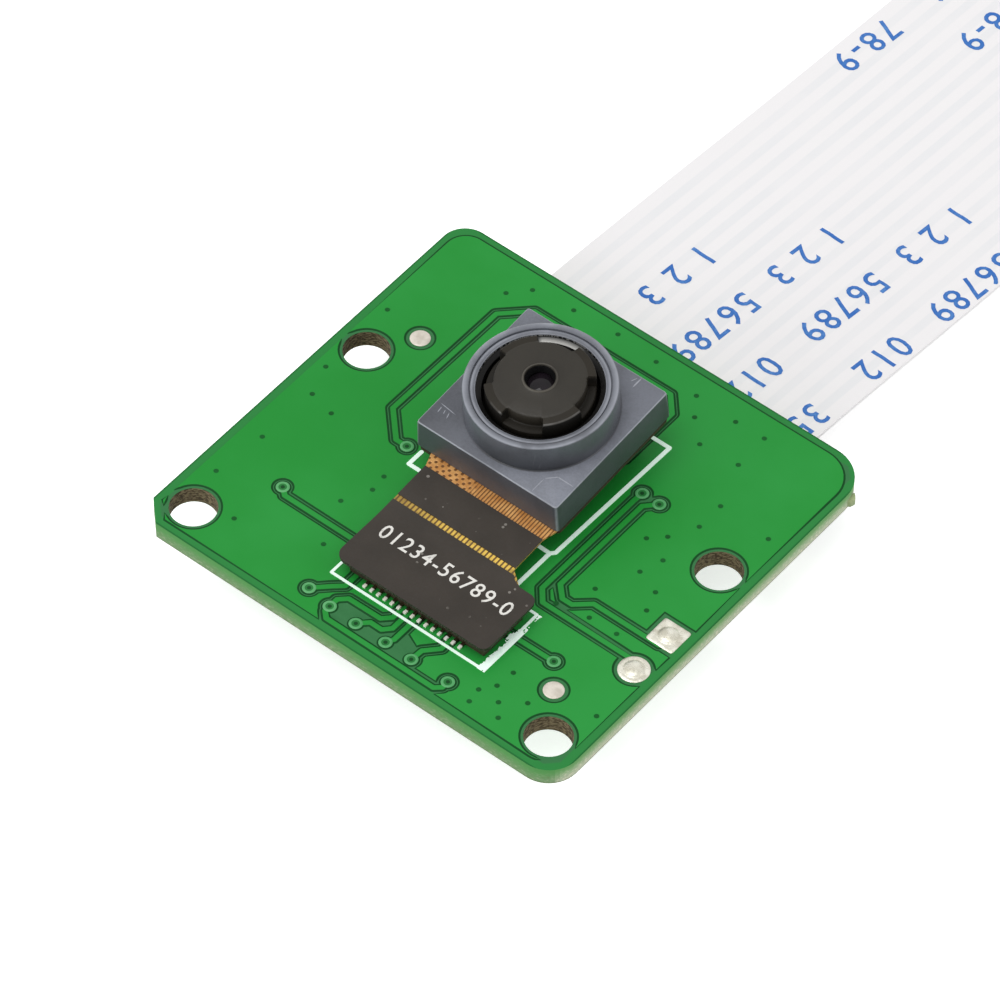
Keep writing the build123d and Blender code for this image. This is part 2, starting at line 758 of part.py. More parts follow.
# Ribbon connector under the back edge: housing, latch, contacts and anchors
slot_back = zif_mouth - slot_depth
contact_back = zif_back + 0.2
contact_tip = zif_mouth - 0.4
contact_profile = [
    (zif_back - contact_foot_reach, connector_height),
    (contact_back + 0.3, connector_height),
    (contact_back + 0.3, contact_beam_high),
    (contact_tip, contact_beam_high),
    (contact_tip, contact_beam_low),
    (contact_tip - 0.3, contact_nose),
    (contact_tip - 0.7, contact_nose),
    (contact_tip - 1.0, contact_beam_low),
    (contact_back, contact_beam_low),
    (contact_back, connector_height - contact_foot),
    (zif_back - contact_foot_reach, connector_height - contact_foot),
]
groove_profile = [
    (zif_back - groove_clearance, connector_height + groove_clearance),
    (contact_back + 0.3 + groove_clearance, connector_height + groove_clearance),
    (contact_back + 0.3 + groove_clearance, contact_beam_high + groove_clearance),
    (contact_tip + groove_clearance, contact_beam_high + groove_clearance),
    (contact_tip + groove_clearance, slot_high - 0.05),
    (zif_back - groove_clearance, slot_high - 0.05),
]
with BuildPart() as zif_housing:
    with BuildSketch(Plane.XY.offset(0)):
        with Locations((0, (zif_back + zif_mouth) / 2)):
            Rectangle(2 * zif_half_width, zif_mouth - zif_back)
    extrude(amount=connector_height)
    with BuildSketch(Plane.YZ):
        with Locations(((slot_back + zif_mouth) / 2, (slot_low + slot_high) / 2)):
            Rectangle(zif_mouth - slot_back, slot_high - slot_low)
    extrude(amount=slot_half_width, both=True, mode=Mode.SUBTRACT)
    groove_width = contact_thickness + 2 * contact_side_gap
    for contact in range(contact_count):
        groove_x = (contact - (contact_count - 1) / 2) * contact_pitch
        with BuildSketch(Plane.YZ.offset(groove_x)):
            with BuildLine():
                Polyline(*groove_profile, close=True)
            make_face()
        extrude(amount=groove_width / 2, both=True, mode=Mode.SUBTRACT)
    upright_edges = zif_housing.edges().filter_by(Axis.Z)
    outer_edges = upright_edges.filter_by(lambda edge: abs(edge.center().X) > zif_half_width - 0.01)
    fillet(outer_edges, radius=0.2)
zif_housing.part.label = "zif_housing"
export_step(zif_housing.part, "parts/zif_housing.step")

with BuildPart() as zif_contacts:
    for contact in range(contact_count):
        contact_x = (contact - (contact_count - 1) / 2) * contact_pitch
        with BuildSketch(Plane.YZ.offset(contact_x)):
            with BuildLine():
                Polyline(*contact_profile, close=True)
            make_face()
        extrude(amount=contact_thickness / 2, both=True)
zif_contacts.part.label = "zif_contacts"
export_step(zif_contacts.part, "parts/zif_contacts.step")

with BuildPart() as zif_anchors:
    with BuildSketch(Plane.XY.offset(connector_height)):
        for side in (-1, 1):
            with Locations((side * (zif_half_width + anchor_width / 2), zif_back + 0.1)):
                Rectangle(anchor_width, anchor_depth)
    extrude(amount=-anchor_thickness)
zif_anchors.part.label = "zif_anchors"
export_step(zif_anchors.part, "parts/zif_anchors.step")

# Latch: a bar in front of the mouth, an arm beside each end, and a tongue under the ribbon
tongue_back = zif_mouth - tongue_length
with BuildPart() as zif_latch:
    with BuildSketch(Plane.XY.offset(latch_low)):
        with Locations((0, (zif_mouth + latch_gap + latch_front) / 2)):
            Rectangle(2 * latch_half_width, latch_front - zif_mouth - latch_gap)
    extrude(amount=latch_bar_high - latch_low)
    with BuildSketch(Plane.XY.offset(latch_low)):
        for side in (-1, 1):
            arm_x = side * (latch_half_width - latch_arm_width / 2)
            with Locations((arm_x, latch_front - latch_arm_length / 2)):
                Rectangle(latch_arm_width, latch_arm_length)
    extrude(amount=latch_arm_high - latch_low)
    with BuildSketch(Plane.YZ):
        with BuildLine():
            Polyline((tongue_back, tongue_low), (zif_mouth + latch_gap + 0.2, tongue_low),
                     (zif_mouth + latch_gap + 0.2, tongue_high - 0.05), (zif_mouth, tongue_high),
                     (tongue_back + 0.8, tongue_high), (tongue_back, tongue_high - 0.22), close=True)
        make_face()
    extrude(amount=tongue_half_width, both=True)
zif_latch.part.label = "zif_latch"
export_step(zif_latch.part, "parts/zif_latch.step")

# Parts soldered under the board
with BuildPart() as oscillator:
    with BuildSketch(Plane.XY.offset(board_bottom)):
        with Locations((-6.4, -1.6)):
            Rectangle(3.2, 2.5)
    extrude(amount=-0.35)
    with BuildSketch(Plane.XY.offset(board_bottom - 0.35)):
        with Locations((-6.4, -1.6)):
            RectangleRounded(2.9, 2.2, 0.3)
    extrude(amount=-0.45)
oscillator.part.label = "oscillator"
export_step(oscillator.part, "parts/oscillator.step")

regulator_spots = [(-1.6, -8.6), (3.4, -8.6)]
with BuildPart() as voltage_regulators:
    with BuildSketch(Plane.XY.offset(board_bottom - 0.08)):
        with Locations(*regulator_spots):
            Rectangle(2.9, 1.6)
    extrude(amount=-1.1)
    chamfer(voltage_regulators.faces().sort_by(Axis.Z)[0:2].edges(), length=0.12)
voltage_regulators.part.label = "voltage_regulators"
export_step(voltage_regulators.part, "parts/voltage_regulators.step")

with BuildPart() as regulator_leads:
    for spot_x, spot_y in regulator_spots:
        for lead_x, side in ((-0.95, 1), (0, 1), (0.95, 1), (-0.95, -1), (0.95, -1)):
            with BuildSketch(Plane.YZ.offset(spot_x + lead_x)):
                with BuildLine():
                    Polyline((spot_y + side * 0.8, board_bottom - 0.6),
                             (spot_y + side * 1.1, board_bottom - 0.6),
                             (spot_y + side * 1.1, board_bottom - 0.12),
                             (spot_y + side * 1.4, board_bottom - 0.12),
                             (spot_y + side * 1.4, board_bottom),
                             (spot_y + side * 0.98, board_bottom),
                             (spot_y + side * 0.98, board_bottom - 0.48),
                             (spot_y + side * 0.8, board_bottom - 0.48), close=True)
                make_face()
            extrude(amount=0.2, both=True)
regulator_leads.part.label = "regulator_leads"
export_step(regulator_leads.part, "parts/regulator_leads.step")

chip_centre = (2.4, -1.8)
with BuildPart() as control_chip:
    with BuildSketch(Plane.XY.offset(board_bottom - 0.08)):
        with Locations(chip_centre):
            Rectangle(3.0, 3.0)
    extrude(amount=-0.9)
    chamfer(control_chip.faces().sort_by(Axis.Z)[0].edges(), length=0.12)
control_chip.part.label = "control_chip"
export_step(control_chip.part, "parts/control_chip.step")

with BuildPart() as chip_leads:
    for lead in range(4):
        for side in (-1, 1):
            lead_x = chip_centre[0] + (lead - 1.5) * 0.65
            edge_y = chip_centre[1] + side * 1.5
            with BuildSketch(Plane.YZ.offset(lead_x)):
                with BuildLine():
                    Polyline((edge_y, board_bottom - 0.5),
                             (edge_y + side * 0.3, board_bottom - 0.5),
                             (edge_y + side * 0.3, board_bottom - 0.12),
                             (edge_y + side * 0.7, board_bottom - 0.12),
                             (edge_y + side * 0.7, board_bottom),
                             (edge_y + side * 0.18, board_bottom),
                             (edge_y + side * 0.18, board_bottom - 0.38),
                             (edge_y, board_bottom - 0.38), close=True)
                make_face()
            extrude(amount=0.15, both=True)
chip_leads.part.label = "chip_leads"
export_step(chip_leads.part, "parts/chip_leads.step")

capacitor_spots = [(-9.6, -6.0), (-7.4, -6.0), (-5.2, -6.0), (6.4, -5.6), (8.6, -5.6), (7.6, 0.6),
                   (-2.4, -4.4), (-2.4, -2.4)]
capacitor_length = 1.6
capacitor_width = 0.8
capacitor_height = 0.8
cap_length = 0.3
with BuildPart() as capacitors:
    with BuildSketch(Plane.XY.offset(board_bottom)):
        with Locations(*capacitor_spots):
            Rectangle(capacitor_length - 2 * cap_length, capacitor_width)
    extrude(amount=-capacitor_height)
capacitors.part.label = "capacitors"
export_step(capacitors.part, "parts/capacitors.step")

with BuildPart() as capacitor_caps:
    with BuildSketch(Plane.XY.offset(board_bottom)):
        with Locations(*capacitor_spots):
            with GridLocations(capacitor_length - cap_length, 1, 2, 1):
                Rectangle(cap_length, capacitor_width)
    extrude(amount=-capacitor_height)
capacitor_caps.part.label = "capacitor_caps"
export_step(capacitor_caps.part, "parts/capacitor_caps.step")

resistor_spots = [(-6.4, 1.6), (-6.4, 3.0), (-2.6, 1.6), (-2.6, 3.0), (1.2, 3.0), (4.6, 3.0)]
resistor_length = 1.0
resistor_width = 0.5
resistor_height = 0.35
resistor_cap = 0.2
with BuildPart() as resistors:
    with BuildSketch(Plane.XY.offset(board_bottom)):
        with Locations(*resistor_spots):
            Rectangle(resistor_length - 2 * resistor_cap, resistor_width)
    extrude(amount=-resistor_height)
resistors.part.label = "resistors"
export_step(resistors.part, "parts/resistors.step")

with BuildPart() as resistor_caps:
    with BuildSketch(Plane.XY.offset(board_bottom)):
        with Locations(*resistor_spots):
            with GridLocations(resistor_length - resistor_cap, 1, 2, 1):
                Rectangle(resistor_cap, resistor_width)
    extrude(amount=-resistor_height)
resistor_caps.part.label = "resistor_caps"
export_step(resistor_caps.part, "parts/resistor_caps.step")

# Ribbon, with a tinned comb and a stiffening film at each end
ribbon_radii = rounded_route(ribbon_route)
print("ribbon bend radii", [round(radius, 1) for radius in ribbon_radii])
with BuildPart() as ribbon:
    with BuildSketch(Plane.YZ):
        with BuildLine():
            ribbon_line = FilletPolyline(*ribbon_route, radius=ribbon_radii)
        trace(ribbon_line, line_width=ribbon_thickness)
    extrude(amount=ribbon_width / 2, both=True)
ribbon.part.label = "ribbon"
export_step(ribbon.part, "parts/ribbon.step")

tail_run = ribbon_route[-1][0] - ribbon_route[-2][0]
tail_tilt = degrees(atan2(ribbon_route[-1][1] - ribbon_route[-2][1], tail_run))
tail_plane = Plane(origin=(0, ribbon_route[-1][0], ribbon_route[-1][1]), x_dir=(1, 0, 0),
                   z_dir=(0, -sin(radians(tail_tilt)), cos(radians(tail_tilt))))
with BuildPart() as ribbon_contacts:
    with BuildSketch(Plane.XY.offset(ribbon_level + ribbon_thickness / 2)):
        with Locations((0, ribbon_start + ribbon_contact_length / 2)):
            with GridLocations(contact_pitch, 1, contact_count, 1):
                Rectangle(ribbon_contact_width, ribbon_contact_length)
    extrude(amount=ribbon_contact_thickness)
    with BuildSketch(tail_plane.offset(ribbon_thickness / 2)):
        with Locations((0, -ribbon_contact_length / 2)):
            with GridLocations(contact_pitch, 1, contact_count, 1):
                Rectangle(ribbon_contact_width, ribbon_contact_length)
    extrude(amount=ribbon_contact_thickness)
ribbon_contacts.part.label = "ribbon_contacts"
export_step(ribbon_contacts.part, "parts/ribbon_contacts.step")

with BuildPart() as ribbon_stiffeners:
    with BuildSketch(Plane.XY.offset(ribbon_level - ribbon_thickness / 2)):
        with Locations((0, ribbon_start + 1.5)):
            Rectangle(ribbon_width, 3.0)
    extrude(amount=-ribbon_stiffener_thickness)
    with BuildSketch(tail_plane.offset(-ribbon_thickness / 2)):
        with Locations((0, -ribbon_stiffener_length / 2)):
            Rectangle(ribbon_width, ribbon_stiffener_length)
    extrude(amount=-ribbon_stiffener_thickness)
ribbon_stiffeners.part.label = "ribbon_stiffeners"
export_step(ribbon_stiffeners.part, "parts/ribbon_stiffeners.step")
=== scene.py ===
"""Looks of a small camera module: a green board with a lens on a short flex, and a flat ribbon.

Every length in the classes is in millimetres, in the part's own frame, and becomes metres when a
mesh is finished. X runs along the board's front edge, Y towards the ribbon and Z up.
"""

import logging
import math
from dataclasses import dataclass, field
from enum import Enum
from typing import Callable, Sequence

import bmesh
import bpy
from mathutils import Matrix, Vector, noise

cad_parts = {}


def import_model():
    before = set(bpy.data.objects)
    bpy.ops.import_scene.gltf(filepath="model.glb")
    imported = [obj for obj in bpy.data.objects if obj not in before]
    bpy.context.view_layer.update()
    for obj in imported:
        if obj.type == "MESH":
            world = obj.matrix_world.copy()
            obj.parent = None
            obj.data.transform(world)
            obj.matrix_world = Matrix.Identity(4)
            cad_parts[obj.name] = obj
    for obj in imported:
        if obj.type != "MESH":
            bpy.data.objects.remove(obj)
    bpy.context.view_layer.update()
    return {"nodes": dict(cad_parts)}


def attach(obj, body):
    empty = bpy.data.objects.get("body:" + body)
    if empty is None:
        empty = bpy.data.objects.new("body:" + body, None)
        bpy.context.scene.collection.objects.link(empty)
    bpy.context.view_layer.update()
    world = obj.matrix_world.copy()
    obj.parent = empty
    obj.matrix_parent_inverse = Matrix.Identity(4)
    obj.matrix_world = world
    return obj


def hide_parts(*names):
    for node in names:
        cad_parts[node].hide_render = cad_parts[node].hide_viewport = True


LOG = logging.getLogger("camera_module")
MM = 0.001
Point2 = tuple[float, float]
Point3 = tuple[float, float, float]
Colour = tuple[float, float, float]


class Side(Enum):
    """Which face of the board a piece belongs to."""

    TOP = 1
    UNDER = -1


class Layer(Enum):
    """Heights of the board's layers above the part's base, in millimetres."""

    BOARD_BOTTOM = 2.6
    LAMINATE_TOP = 3.56
    BOARD_TOP = 3.6


def smooth_step(low: float, high: float, value: float) -> float:
    """Rises smoothly from 0 at low to 1 at high."""
    t = min(max((value - low) / (high - low), 0.0), 1.0)
    return t * t * (3 - 2 * t)


def srgb(red: int, green: int, blue: int) -> Colour:
    """Turns a display colour of 0 to 255 into a linear one."""

    def channel(value: int) -> float:
        """Linear value of one channel."""
        share = value / 255
        return share / 12.92 if share <= 0.04045 else ((share + 0.055) / 1.055) ** 2.4

    return (channel(red), channel(green), channel(blue))


# Shader helpers


class NodeSheet:
    """Adds and joins nodes in one shader tree."""

    def __init__(self, tree: bpy.types.NodeTree) -> None:
        """Keeps the tree that nodes are added to."""
        self.tree = tree

    def add(self, kind: str, **settings: object) -> bpy.types.Node:
        """Adds a node.

        Args:
            kind: the node type's last word, such as "TexNoise".
            settings: properties to set on the node.

        Returns:
            The new node.
        """
        node = self.tree.nodes.new("ShaderNode" + kind)
        for name, value in settings.items():
            setattr(node, name, value)
        return node

    def feed(self, node: bpy.types.Node, **values: object) -> bpy.types.Node:
        """Sets or links inputs, named with underscores for spaces.

        Args:
            node: the node to set.
            values: a socket to link, or a plain value.

        Returns:
            The same node.
        """
        for name, value in values.items():
            socket = node.inputs[name.replace("_", " ")]
            if isinstance(value, bpy.types.NodeSocket):
                self.tree.links.new(value, socket)
            else:
                socket.default_value = value
        return node

    def mix(self, share: object, low: object, high: object) -> bpy.types.NodeSocket:
        """Mixes two colours.

        Args:
            share: 0 gives low and 1 gives high; a socket or a number.
            low: a colour or a socket.
            high: a colour or a socket.

        Returns:
            The mixed colour's socket.
        """
        node = self.add("Mix", data_type="RGBA")
        for index, value in ((0, share), (6, low), (7, high)):
            if isinstance(value, bpy.types.NodeSocket):
                self.tree.links.new(value, node.inputs[index])
            elif index == 0:
                node.inputs[0].default_value = value
            else:
                node.inputs[index].default_value = (*value, 1.0)
        return node.outputs[2]

    def math(self, operation: str, first: object, second: object = 0.0) -> bpy.types.NodeSocket:
        """Works out a sum on one or two values.

        Args:
            operation: Blender's name of the operation.
            first: a socket or a number.
            second: a socket or a number.

        Returns:
            The result's socket.
        """
        node = self.add("Math", operation=operation)
        for index, value in enumerate((first, second)):
            if isinstance(value, bpy.types.NodeSocket):
                self.tree.links.new(value, node.inputs[index])
            else:
                node.inputs[index].default_value = value
        return node.outputs[0]

    def ramp(self, value: bpy.types.NodeSocket, low: float, high: float,
             start: float = 0.0, end: float = 1.0) -> bpy.types.NodeSocket:
        """Maps a value smoothly from one range to another.

        Args:
            value: the socket to map.
            low: the value that gives start.
            high: the value that gives end.
            start: the result at low.
            end: the result at high.

        Returns:
            The mapped value's socket.
        """
        node = self.add("MapRange", interpolation_type="SMOOTHSTEP")
        self.tree.links.new(value, node.inputs[0])
        for index, number in enumerate((low, high, start, end)):
            node.inputs[index + 1].default_value = number
        return node.outputs[0]


class EffectGroup(Enum):
    """The shader node groups that several finishes share."""

    GRAIN = "fine_grain"
    CLOUD = "slow_cloud"
    DUST = "dust_specks"
    SCRATCHES = "hair_scratches"


class EffectShop:
    """Builds each shared shader group once and places it in materials."""

    def __init__(self) -> None:
        """Starts with no group built."""
        self.built: dict[EffectGroup, bpy.types.NodeTree] = {}

    def new_tree(self, name: str, inputs: Sequence[tuple[str, str, float]],
                 outputs: Sequence[str]) -> tuple[bpy.types.NodeTree, NodeSheet]:
        """Makes an empty group with its sockets.

        Args:
            name: the group's name.
            inputs: name, socket kind and default of each input.
            outputs: names of the value outputs.

        Returns:
            The tree, and a sheet for it.
        """
        tree = bpy.data.node_groups.new(name, "ShaderNodeTree")
        tree.interface.new_socket("Vector", in_out="INPUT", socket_type="NodeSocketVector")
        for label, kind, default in inputs:
            socket = tree.interface.new_socket(label, in_out="INPUT", socket_type=kind)
            socket.default_value = default
        for label in outputs:
            tree.interface.new_socket(label, in_out="OUTPUT", socket_type="NodeSocketFloat")
        return tree, NodeSheet(tree)

    def tree_for(self, effect: EffectGroup) -> bpy.types.NodeTree:
        """Gives the group's tree, building it the first time."""
        if effect not in self.built:
            makers: dict[EffectGroup, Callable[[], bpy.types.NodeTree]] = {
                EffectGroup.GRAIN: self.make_grain,
                EffectGroup.CLOUD: self.make_cloud,
                EffectGroup.DUST: self.make_dust,
                EffectGroup.SCRATCHES: self.make_scratches,
            }
            self.built[effect] = makers[effect]()
        return self.built[effect]

    def make_grain(self) -> bpy.types.NodeTree:
        """Fine moulded grain: two sizes of noise."""
        tree, sheet = self.new_tree("fine_grain", [("Scale", "NodeSocketFloat", 9000.0)], ["Height", "Tone"])
        entry = sheet.tree.nodes.new("NodeGroupInput")
        leave = sheet.tree.nodes.new("NodeGroupOutput")
        coarse = sheet.feed(sheet.add("TexNoise"), Vector=entry.outputs["Vector"], Scale=entry.outputs["Scale"],
                            Detail=3.0, Roughness=0.6)
        doubled = sheet.math("MULTIPLY", entry.outputs["Scale"], 3.1)
        fine = sheet.feed(sheet.add("TexNoise"), Vector=entry.outputs["Vector"], Scale=doubled, Detail=2.0)
        height = sheet.math("ADD", sheet.math("MULTIPLY", coarse.outputs[0], 0.7),
                            sheet.math("MULTIPLY", fine.outputs[0], 0.3))
        tree.links.new(height, leave.inputs["Height"])
        tree.links.new(sheet.ramp(height, 0.35, 0.65), leave.inputs["Tone"])
        return tree

    def make_cloud(self) -> bpy.types.NodeTree:
        """Slow changes of tone over a surface."""
        tree, sheet = self.new_tree("slow_cloud", [("Scale", "NodeSocketFloat", 150.0)], ["Tone"])
        entry = sheet.tree.nodes.new("NodeGroupInput")
        leave = sheet.tree.nodes.new("NodeGroupOutput")
        cloud = sheet.feed(sheet.add("TexNoise"), Vector=entry.outputs["Vector"], Scale=entry.outputs["Scale"],
                           Detail=4.0, Roughness=0.55)
        tree.links.new(sheet.ramp(cloud.outputs[0], 0.3, 0.7), leave.inputs["Tone"])
        return tree

    def make_dust(self) -> bpy.types.NodeTree:
        """Scattered specks: the middles of a few cells."""
        tree, sheet = self.new_tree("dust_specks", [("Scale", "NodeSocketFloat", 1500.0),
                                                    ("Size", "NodeSocketFloat", 0.2)], ["Mask"])
        entry = sheet.tree.nodes.new("NodeGroupInput")
        leave = sheet.tree.nodes.new("NodeGroupOutput")
        cells = sheet.feed(sheet.add("TexVoronoi"), Vector=entry.outputs["Vector"], Scale=entry.outputs["Scale"])
        rare = sheet.feed(sheet.add("TexNoise"), Vector=entry.outputs["Vector"],
                          Scale=sheet.math("MULTIPLY", entry.outputs["Scale"], 0.45), Detail=1.0)
        near = sheet.math("LESS_THAN", cells.outputs["Distance"], entry.outputs["Size"])
        few = sheet.ramp(rare.outputs[0], 0.56, 0.66)
        tree.links.new(sheet.math("MULTIPLY", near, few), leave.inputs["Mask"])
        return tree

    def make_scratches(self) -> bpy.types.NodeTree:
        """Thin bright hairlines in two directions."""
        tree, sheet = self.new_tree("hair_scratches", [("Scale", "NodeSocketFloat", 200.0)], ["Mask"])
        entry = sheet.tree.nodes.new("NodeGroupInput")
        leave = sheet.tree.nodes.new("NodeGroupOutput")
        found: list[bpy.types.NodeSocket] = []
        for turn, stretch in ((0.6, (1.0, 22.0, 1.0)), (-0.9, (1.0, 16.0, 1.0))):
            mapping = sheet.feed(sheet.add("Mapping"), Vector=entry.outputs["Vector"],
                                 Rotation=(0.0, 0.0, turn), Scale=stretch)
            streak = sheet.feed(sheet.add("TexNoise"), Vector=mapping.outputs[0], Scale=entry.outputs["Scale"],
                                Detail=3.0, Roughness=0.7)
            found.append(sheet.ramp(streak.outputs[0], 0.64, 0.72))
        tree.links.new(sheet.math("MAXIMUM", found[0], found[1]), leave.inputs["Mask"])
        return tree


EFFECTS = EffectShop()


class MaterialBench:
    """One material being made: a Principled shader, its coordinates and a sheet of nodes."""

    def __init__(self, name: str) -> None:
        """Starts an empty material.

        Args:
            name: the material's name.
        """
        self.material = bpy.data.materials.new(name)
        self.material.use_nodes = True
        self.sheet = NodeSheet(self.material.node_tree)
        self.shader = self.material.node_tree.nodes["Principled BSDF"]
        self.coordinates = self.sheet.add("TexCoord")
        self.place = self.coordinates.outputs["Object"]

    def effect(self, group: EffectGroup, vector: bpy.types.NodeSocket | None = None,
               **values: float) -> bpy.types.Node:
        """Places a shared group.

        Args:
            group: which effect.
            vector: coordinates other than the object's own.
            values: plain values of its inputs.

        Returns:
            The group's node.
        """
        node = self.sheet.add("Group", node_tree=EFFECTS.tree_for(group))
        return self.sheet.feed(node, Vector=vector or self.place, **values)

    def axis(self, index: int) -> bpy.types.NodeSocket:
        """Gives one object coordinate in metres: 0 for X, 1 for Y, 2 for Z."""
        return self.sheet.feed(self.sheet.add("SeparateXYZ"), Vector=self.place).outputs[index]

    def bump(self, height: bpy.types.NodeSocket, depth_mm: float, strength: float = 1.0) -> None:
        """Feeds a height into the shader's normal.

        Args:
            height: value from 0 to 1.
            depth_mm: what 1 stands for, in millimetres.
            strength: the bump node's strength.
        """
        node = self.sheet.feed(self.sheet.add("Bump"), Height=height, Strength=strength, Distance=depth_mm * MM)
        self.sheet.feed(self.shader, Normal=node.outputs[0])

    def finish(self, **values: object) -> bpy.types.Material:
        """Sets the shader's own sockets and returns the material."""
        self.sheet.feed(self.shader, **values)
        return self.material


# Finishes


@dataclass(frozen=True)
class SolderMask:
    """Green coat over copper and laminate, with bare laminate at the cut edges."""

    over_copper: Colour = srgb(31, 141, 50)
    over_copper_light: Colour = srgb(40, 148, 61)
    over_laminate: Colour = srgb(60, 125, 75)
    over_border: Colour = srgb(48, 140, 67)
    # slope: painted shade, the dark colour laid on the steps where the coat sinks from copper to laminate.
    slope: Colour = srgb(3, 68, 24)
    # edge_shade_line: painted shade, a dark line along the board's top outer edge.
    edge_shade_line: Colour = srgb(30, 104, 48)
    side_top: Colour = srgb(108, 164, 98)
    side_low: Colour = srgb(194, 204, 176)
    # front_top_shaded and front_low_shaded: darker copies of the wall colours, painted shade on the walls that face
    # -Y.
    front_top_shaded: Colour = srgb(82, 146, 78)
    front_low_shaded: Colour = srgb(112, 146, 102)
    # wall_fibre_glint: pale glass fibres of the cut laminate, partly painted glints.
    wall_fibre_glint: Colour = srgb(224, 220, 198)
    hole_middle_y: float = -3.71
    roughness: float = 0.36

    def make(self) -> bpy.types.Material:
        """Builds the material; the copper's relief is read from its height."""
        bench = MaterialBench("solder_mask")
        sheet = bench.sheet
        height = bench.axis(2)
        cloud = bench.effect(EffectGroup.CLOUD, Scale=110.0)
        fine = bench.effect(EffectGroup.GRAIN, Scale=2600.0)
        copper_colour = sheet.mix(cloud.outputs["Tone"], self.over_copper, self.over_copper_light)
        raised = sheet.ramp(height, 3.592 * MM, 3.5985 * MM)
        lower = sheet.ramp(height, 2.6 * MM, 2.602 * MM, 1.0, 0.0)
        across = sheet.math("ABSOLUTE", bench.axis(0))
        along = sheet.math("ABSOLUTE", bench.axis(1))
        corner = sheet.math("ADD", across, along)
        near = sheet.math("MAXIMUM", sheet.ramp(across, 11.8 * MM, 11.84 * MM),
                          sheet.math("MAXIMUM", sheet.ramp(along, 11.3 * MM, 11.34 * MM),
                                     sheet.ramp(corner, 22.5 * MM, 22.7 * MM)))
        # brink: the outermost band of the top, where the painted shade line lies.
        brink = sheet.math("MAXIMUM", sheet.ramp(across, 12.2 * MM, 12.24 * MM),
                           sheet.ramp(along, 11.7 * MM, 11.74 * MM))
        laminate = sheet.mix(near, self.over_laminate, self.over_border)
        # Painted shade: the slope colour covers each step from the laminate up to the copper.
        sunk = sheet.mix(sheet.ramp(height, 3.561 * MM, 3.5645 * MM), laminate, self.slope)
        coat = sheet.mix(raised, sheet.mix(brink, sunk, self.edge_shade_line), copper_colour)
        coat = sheet.mix(lower, coat, copper_colour)
        fibres = sheet.feed(sheet.add("Mapping"), Vector=bench.place, Scale=(1.0, 1.0, 2.2))
        weave = sheet.feed(sheet.add("TexNoise"), Vector=fibres.outputs[0], Scale=5200.0, Detail=4.0)
        facing = sheet.feed(sheet.add("SeparateXYZ"), Vector=sheet.add("NewGeometry").outputs["True Normal"])
        front = sheet.ramp(facing.outputs[1], -0.8, -0.35, 1.0, 0.0)
        level = sheet.ramp(height, 2.65 * MM, 3.5 * MM, 1.0, 0.0)
        # The walls that face -Y take the shaded copies: painted shade on the front edge.
        wall = sheet.mix(level, sheet.mix(front, self.side_top, self.front_top_shaded),
                         sheet.mix(front, self.side_low, self.front_low_shaded))
        # Pale fibre specks on the walls, partly painted glints.
        glints = sheet.math("MULTIPLY", sheet.ramp(weave.outputs[0], 0.5, 0.66), level)
        # The fibre glints are dimmed on the -Y walls as painted shade.
        glints = sheet.math("MULTIPLY", glints, sheet.ramp(front, 0.0, 1.0, 0.9, 0.2))
        wall = sheet.mix(glints, wall, self.wall_fibre_glint)
        pits = sheet.math("MULTIPLY", sheet.ramp(weave.outputs[0], 0.3, 0.42, 1.0, 0.0), level)
        wall = sheet.mix(sheet.math("MULTIPLY", pits, 0.4), wall, srgb(122, 108, 76))
        wall = sheet.mix(sheet.ramp(height, 2.6 * MM, 2.68 * MM, 1.0, 0.0), wall, srgb(92, 88, 60))
        upright = sheet.ramp(sheet.math("ABSOLUTE", facing.outputs[2]), 0.2, 0.6, 1.0, 0.0)
        inside = sheet.math("MULTIPLY", sheet.ramp(height, 3.55 * MM, 3.558 * MM, 1.0, 0.0),
                            sheet.ramp(height, 2.601 * MM, 2.61 * MM))
        cut = sheet.math("MULTIPLY", upright, inside)
        beside = sheet.math("SUBTRACT", across, 10.5 * MM)
        level_y = sheet.math("SUBTRACT", bench.axis(1), self.hole_middle_y * MM)
        ahead = sheet.math("SUBTRACT", sheet.math("ABSOLUTE", level_y), 6.25 * MM)
        reach = sheet.math("SQRT", sheet.math("ADD", sheet.math("MULTIPLY", beside, beside),
                                              sheet.math("MULTIPLY", ahead, ahead)))
        bored = sheet.ramp(reach, 1.25 * MM, 1.3 * MM, 1.0, 0.0)
        # Inside the mounting holes the drilled laminate is painted a darker brown, partly as painted shade inside the
        # hole.
        hole = sheet.mix(sheet.ramp(weave.outputs[0], 0.4, 0.6), srgb(66, 56, 38), srgb(128, 116, 88))
        wall = sheet.mix(bored, wall, hole)
        colour = sheet.mix(cut, coat, wall)
        matt = sheet.math("MAXIMUM", sheet.math("MULTIPLY", cut, 0.4),
                          sheet.math("MULTIPLY", sheet.math("SUBTRACT", 1.0, raised), 0.3))
        rough = sheet.math("ADD", matt, sheet.ramp(cloud.outputs["Tone"], 0.0, 1.0, self.roughness - 0.04,
                                                   self.roughness + 0.05))
        bench.bump(fine.outputs["Height"], 0.0035, 0.5)
        return bench.finish(Base_Color=colour, Roughness=rough, Specular_IOR_Level=0.2)


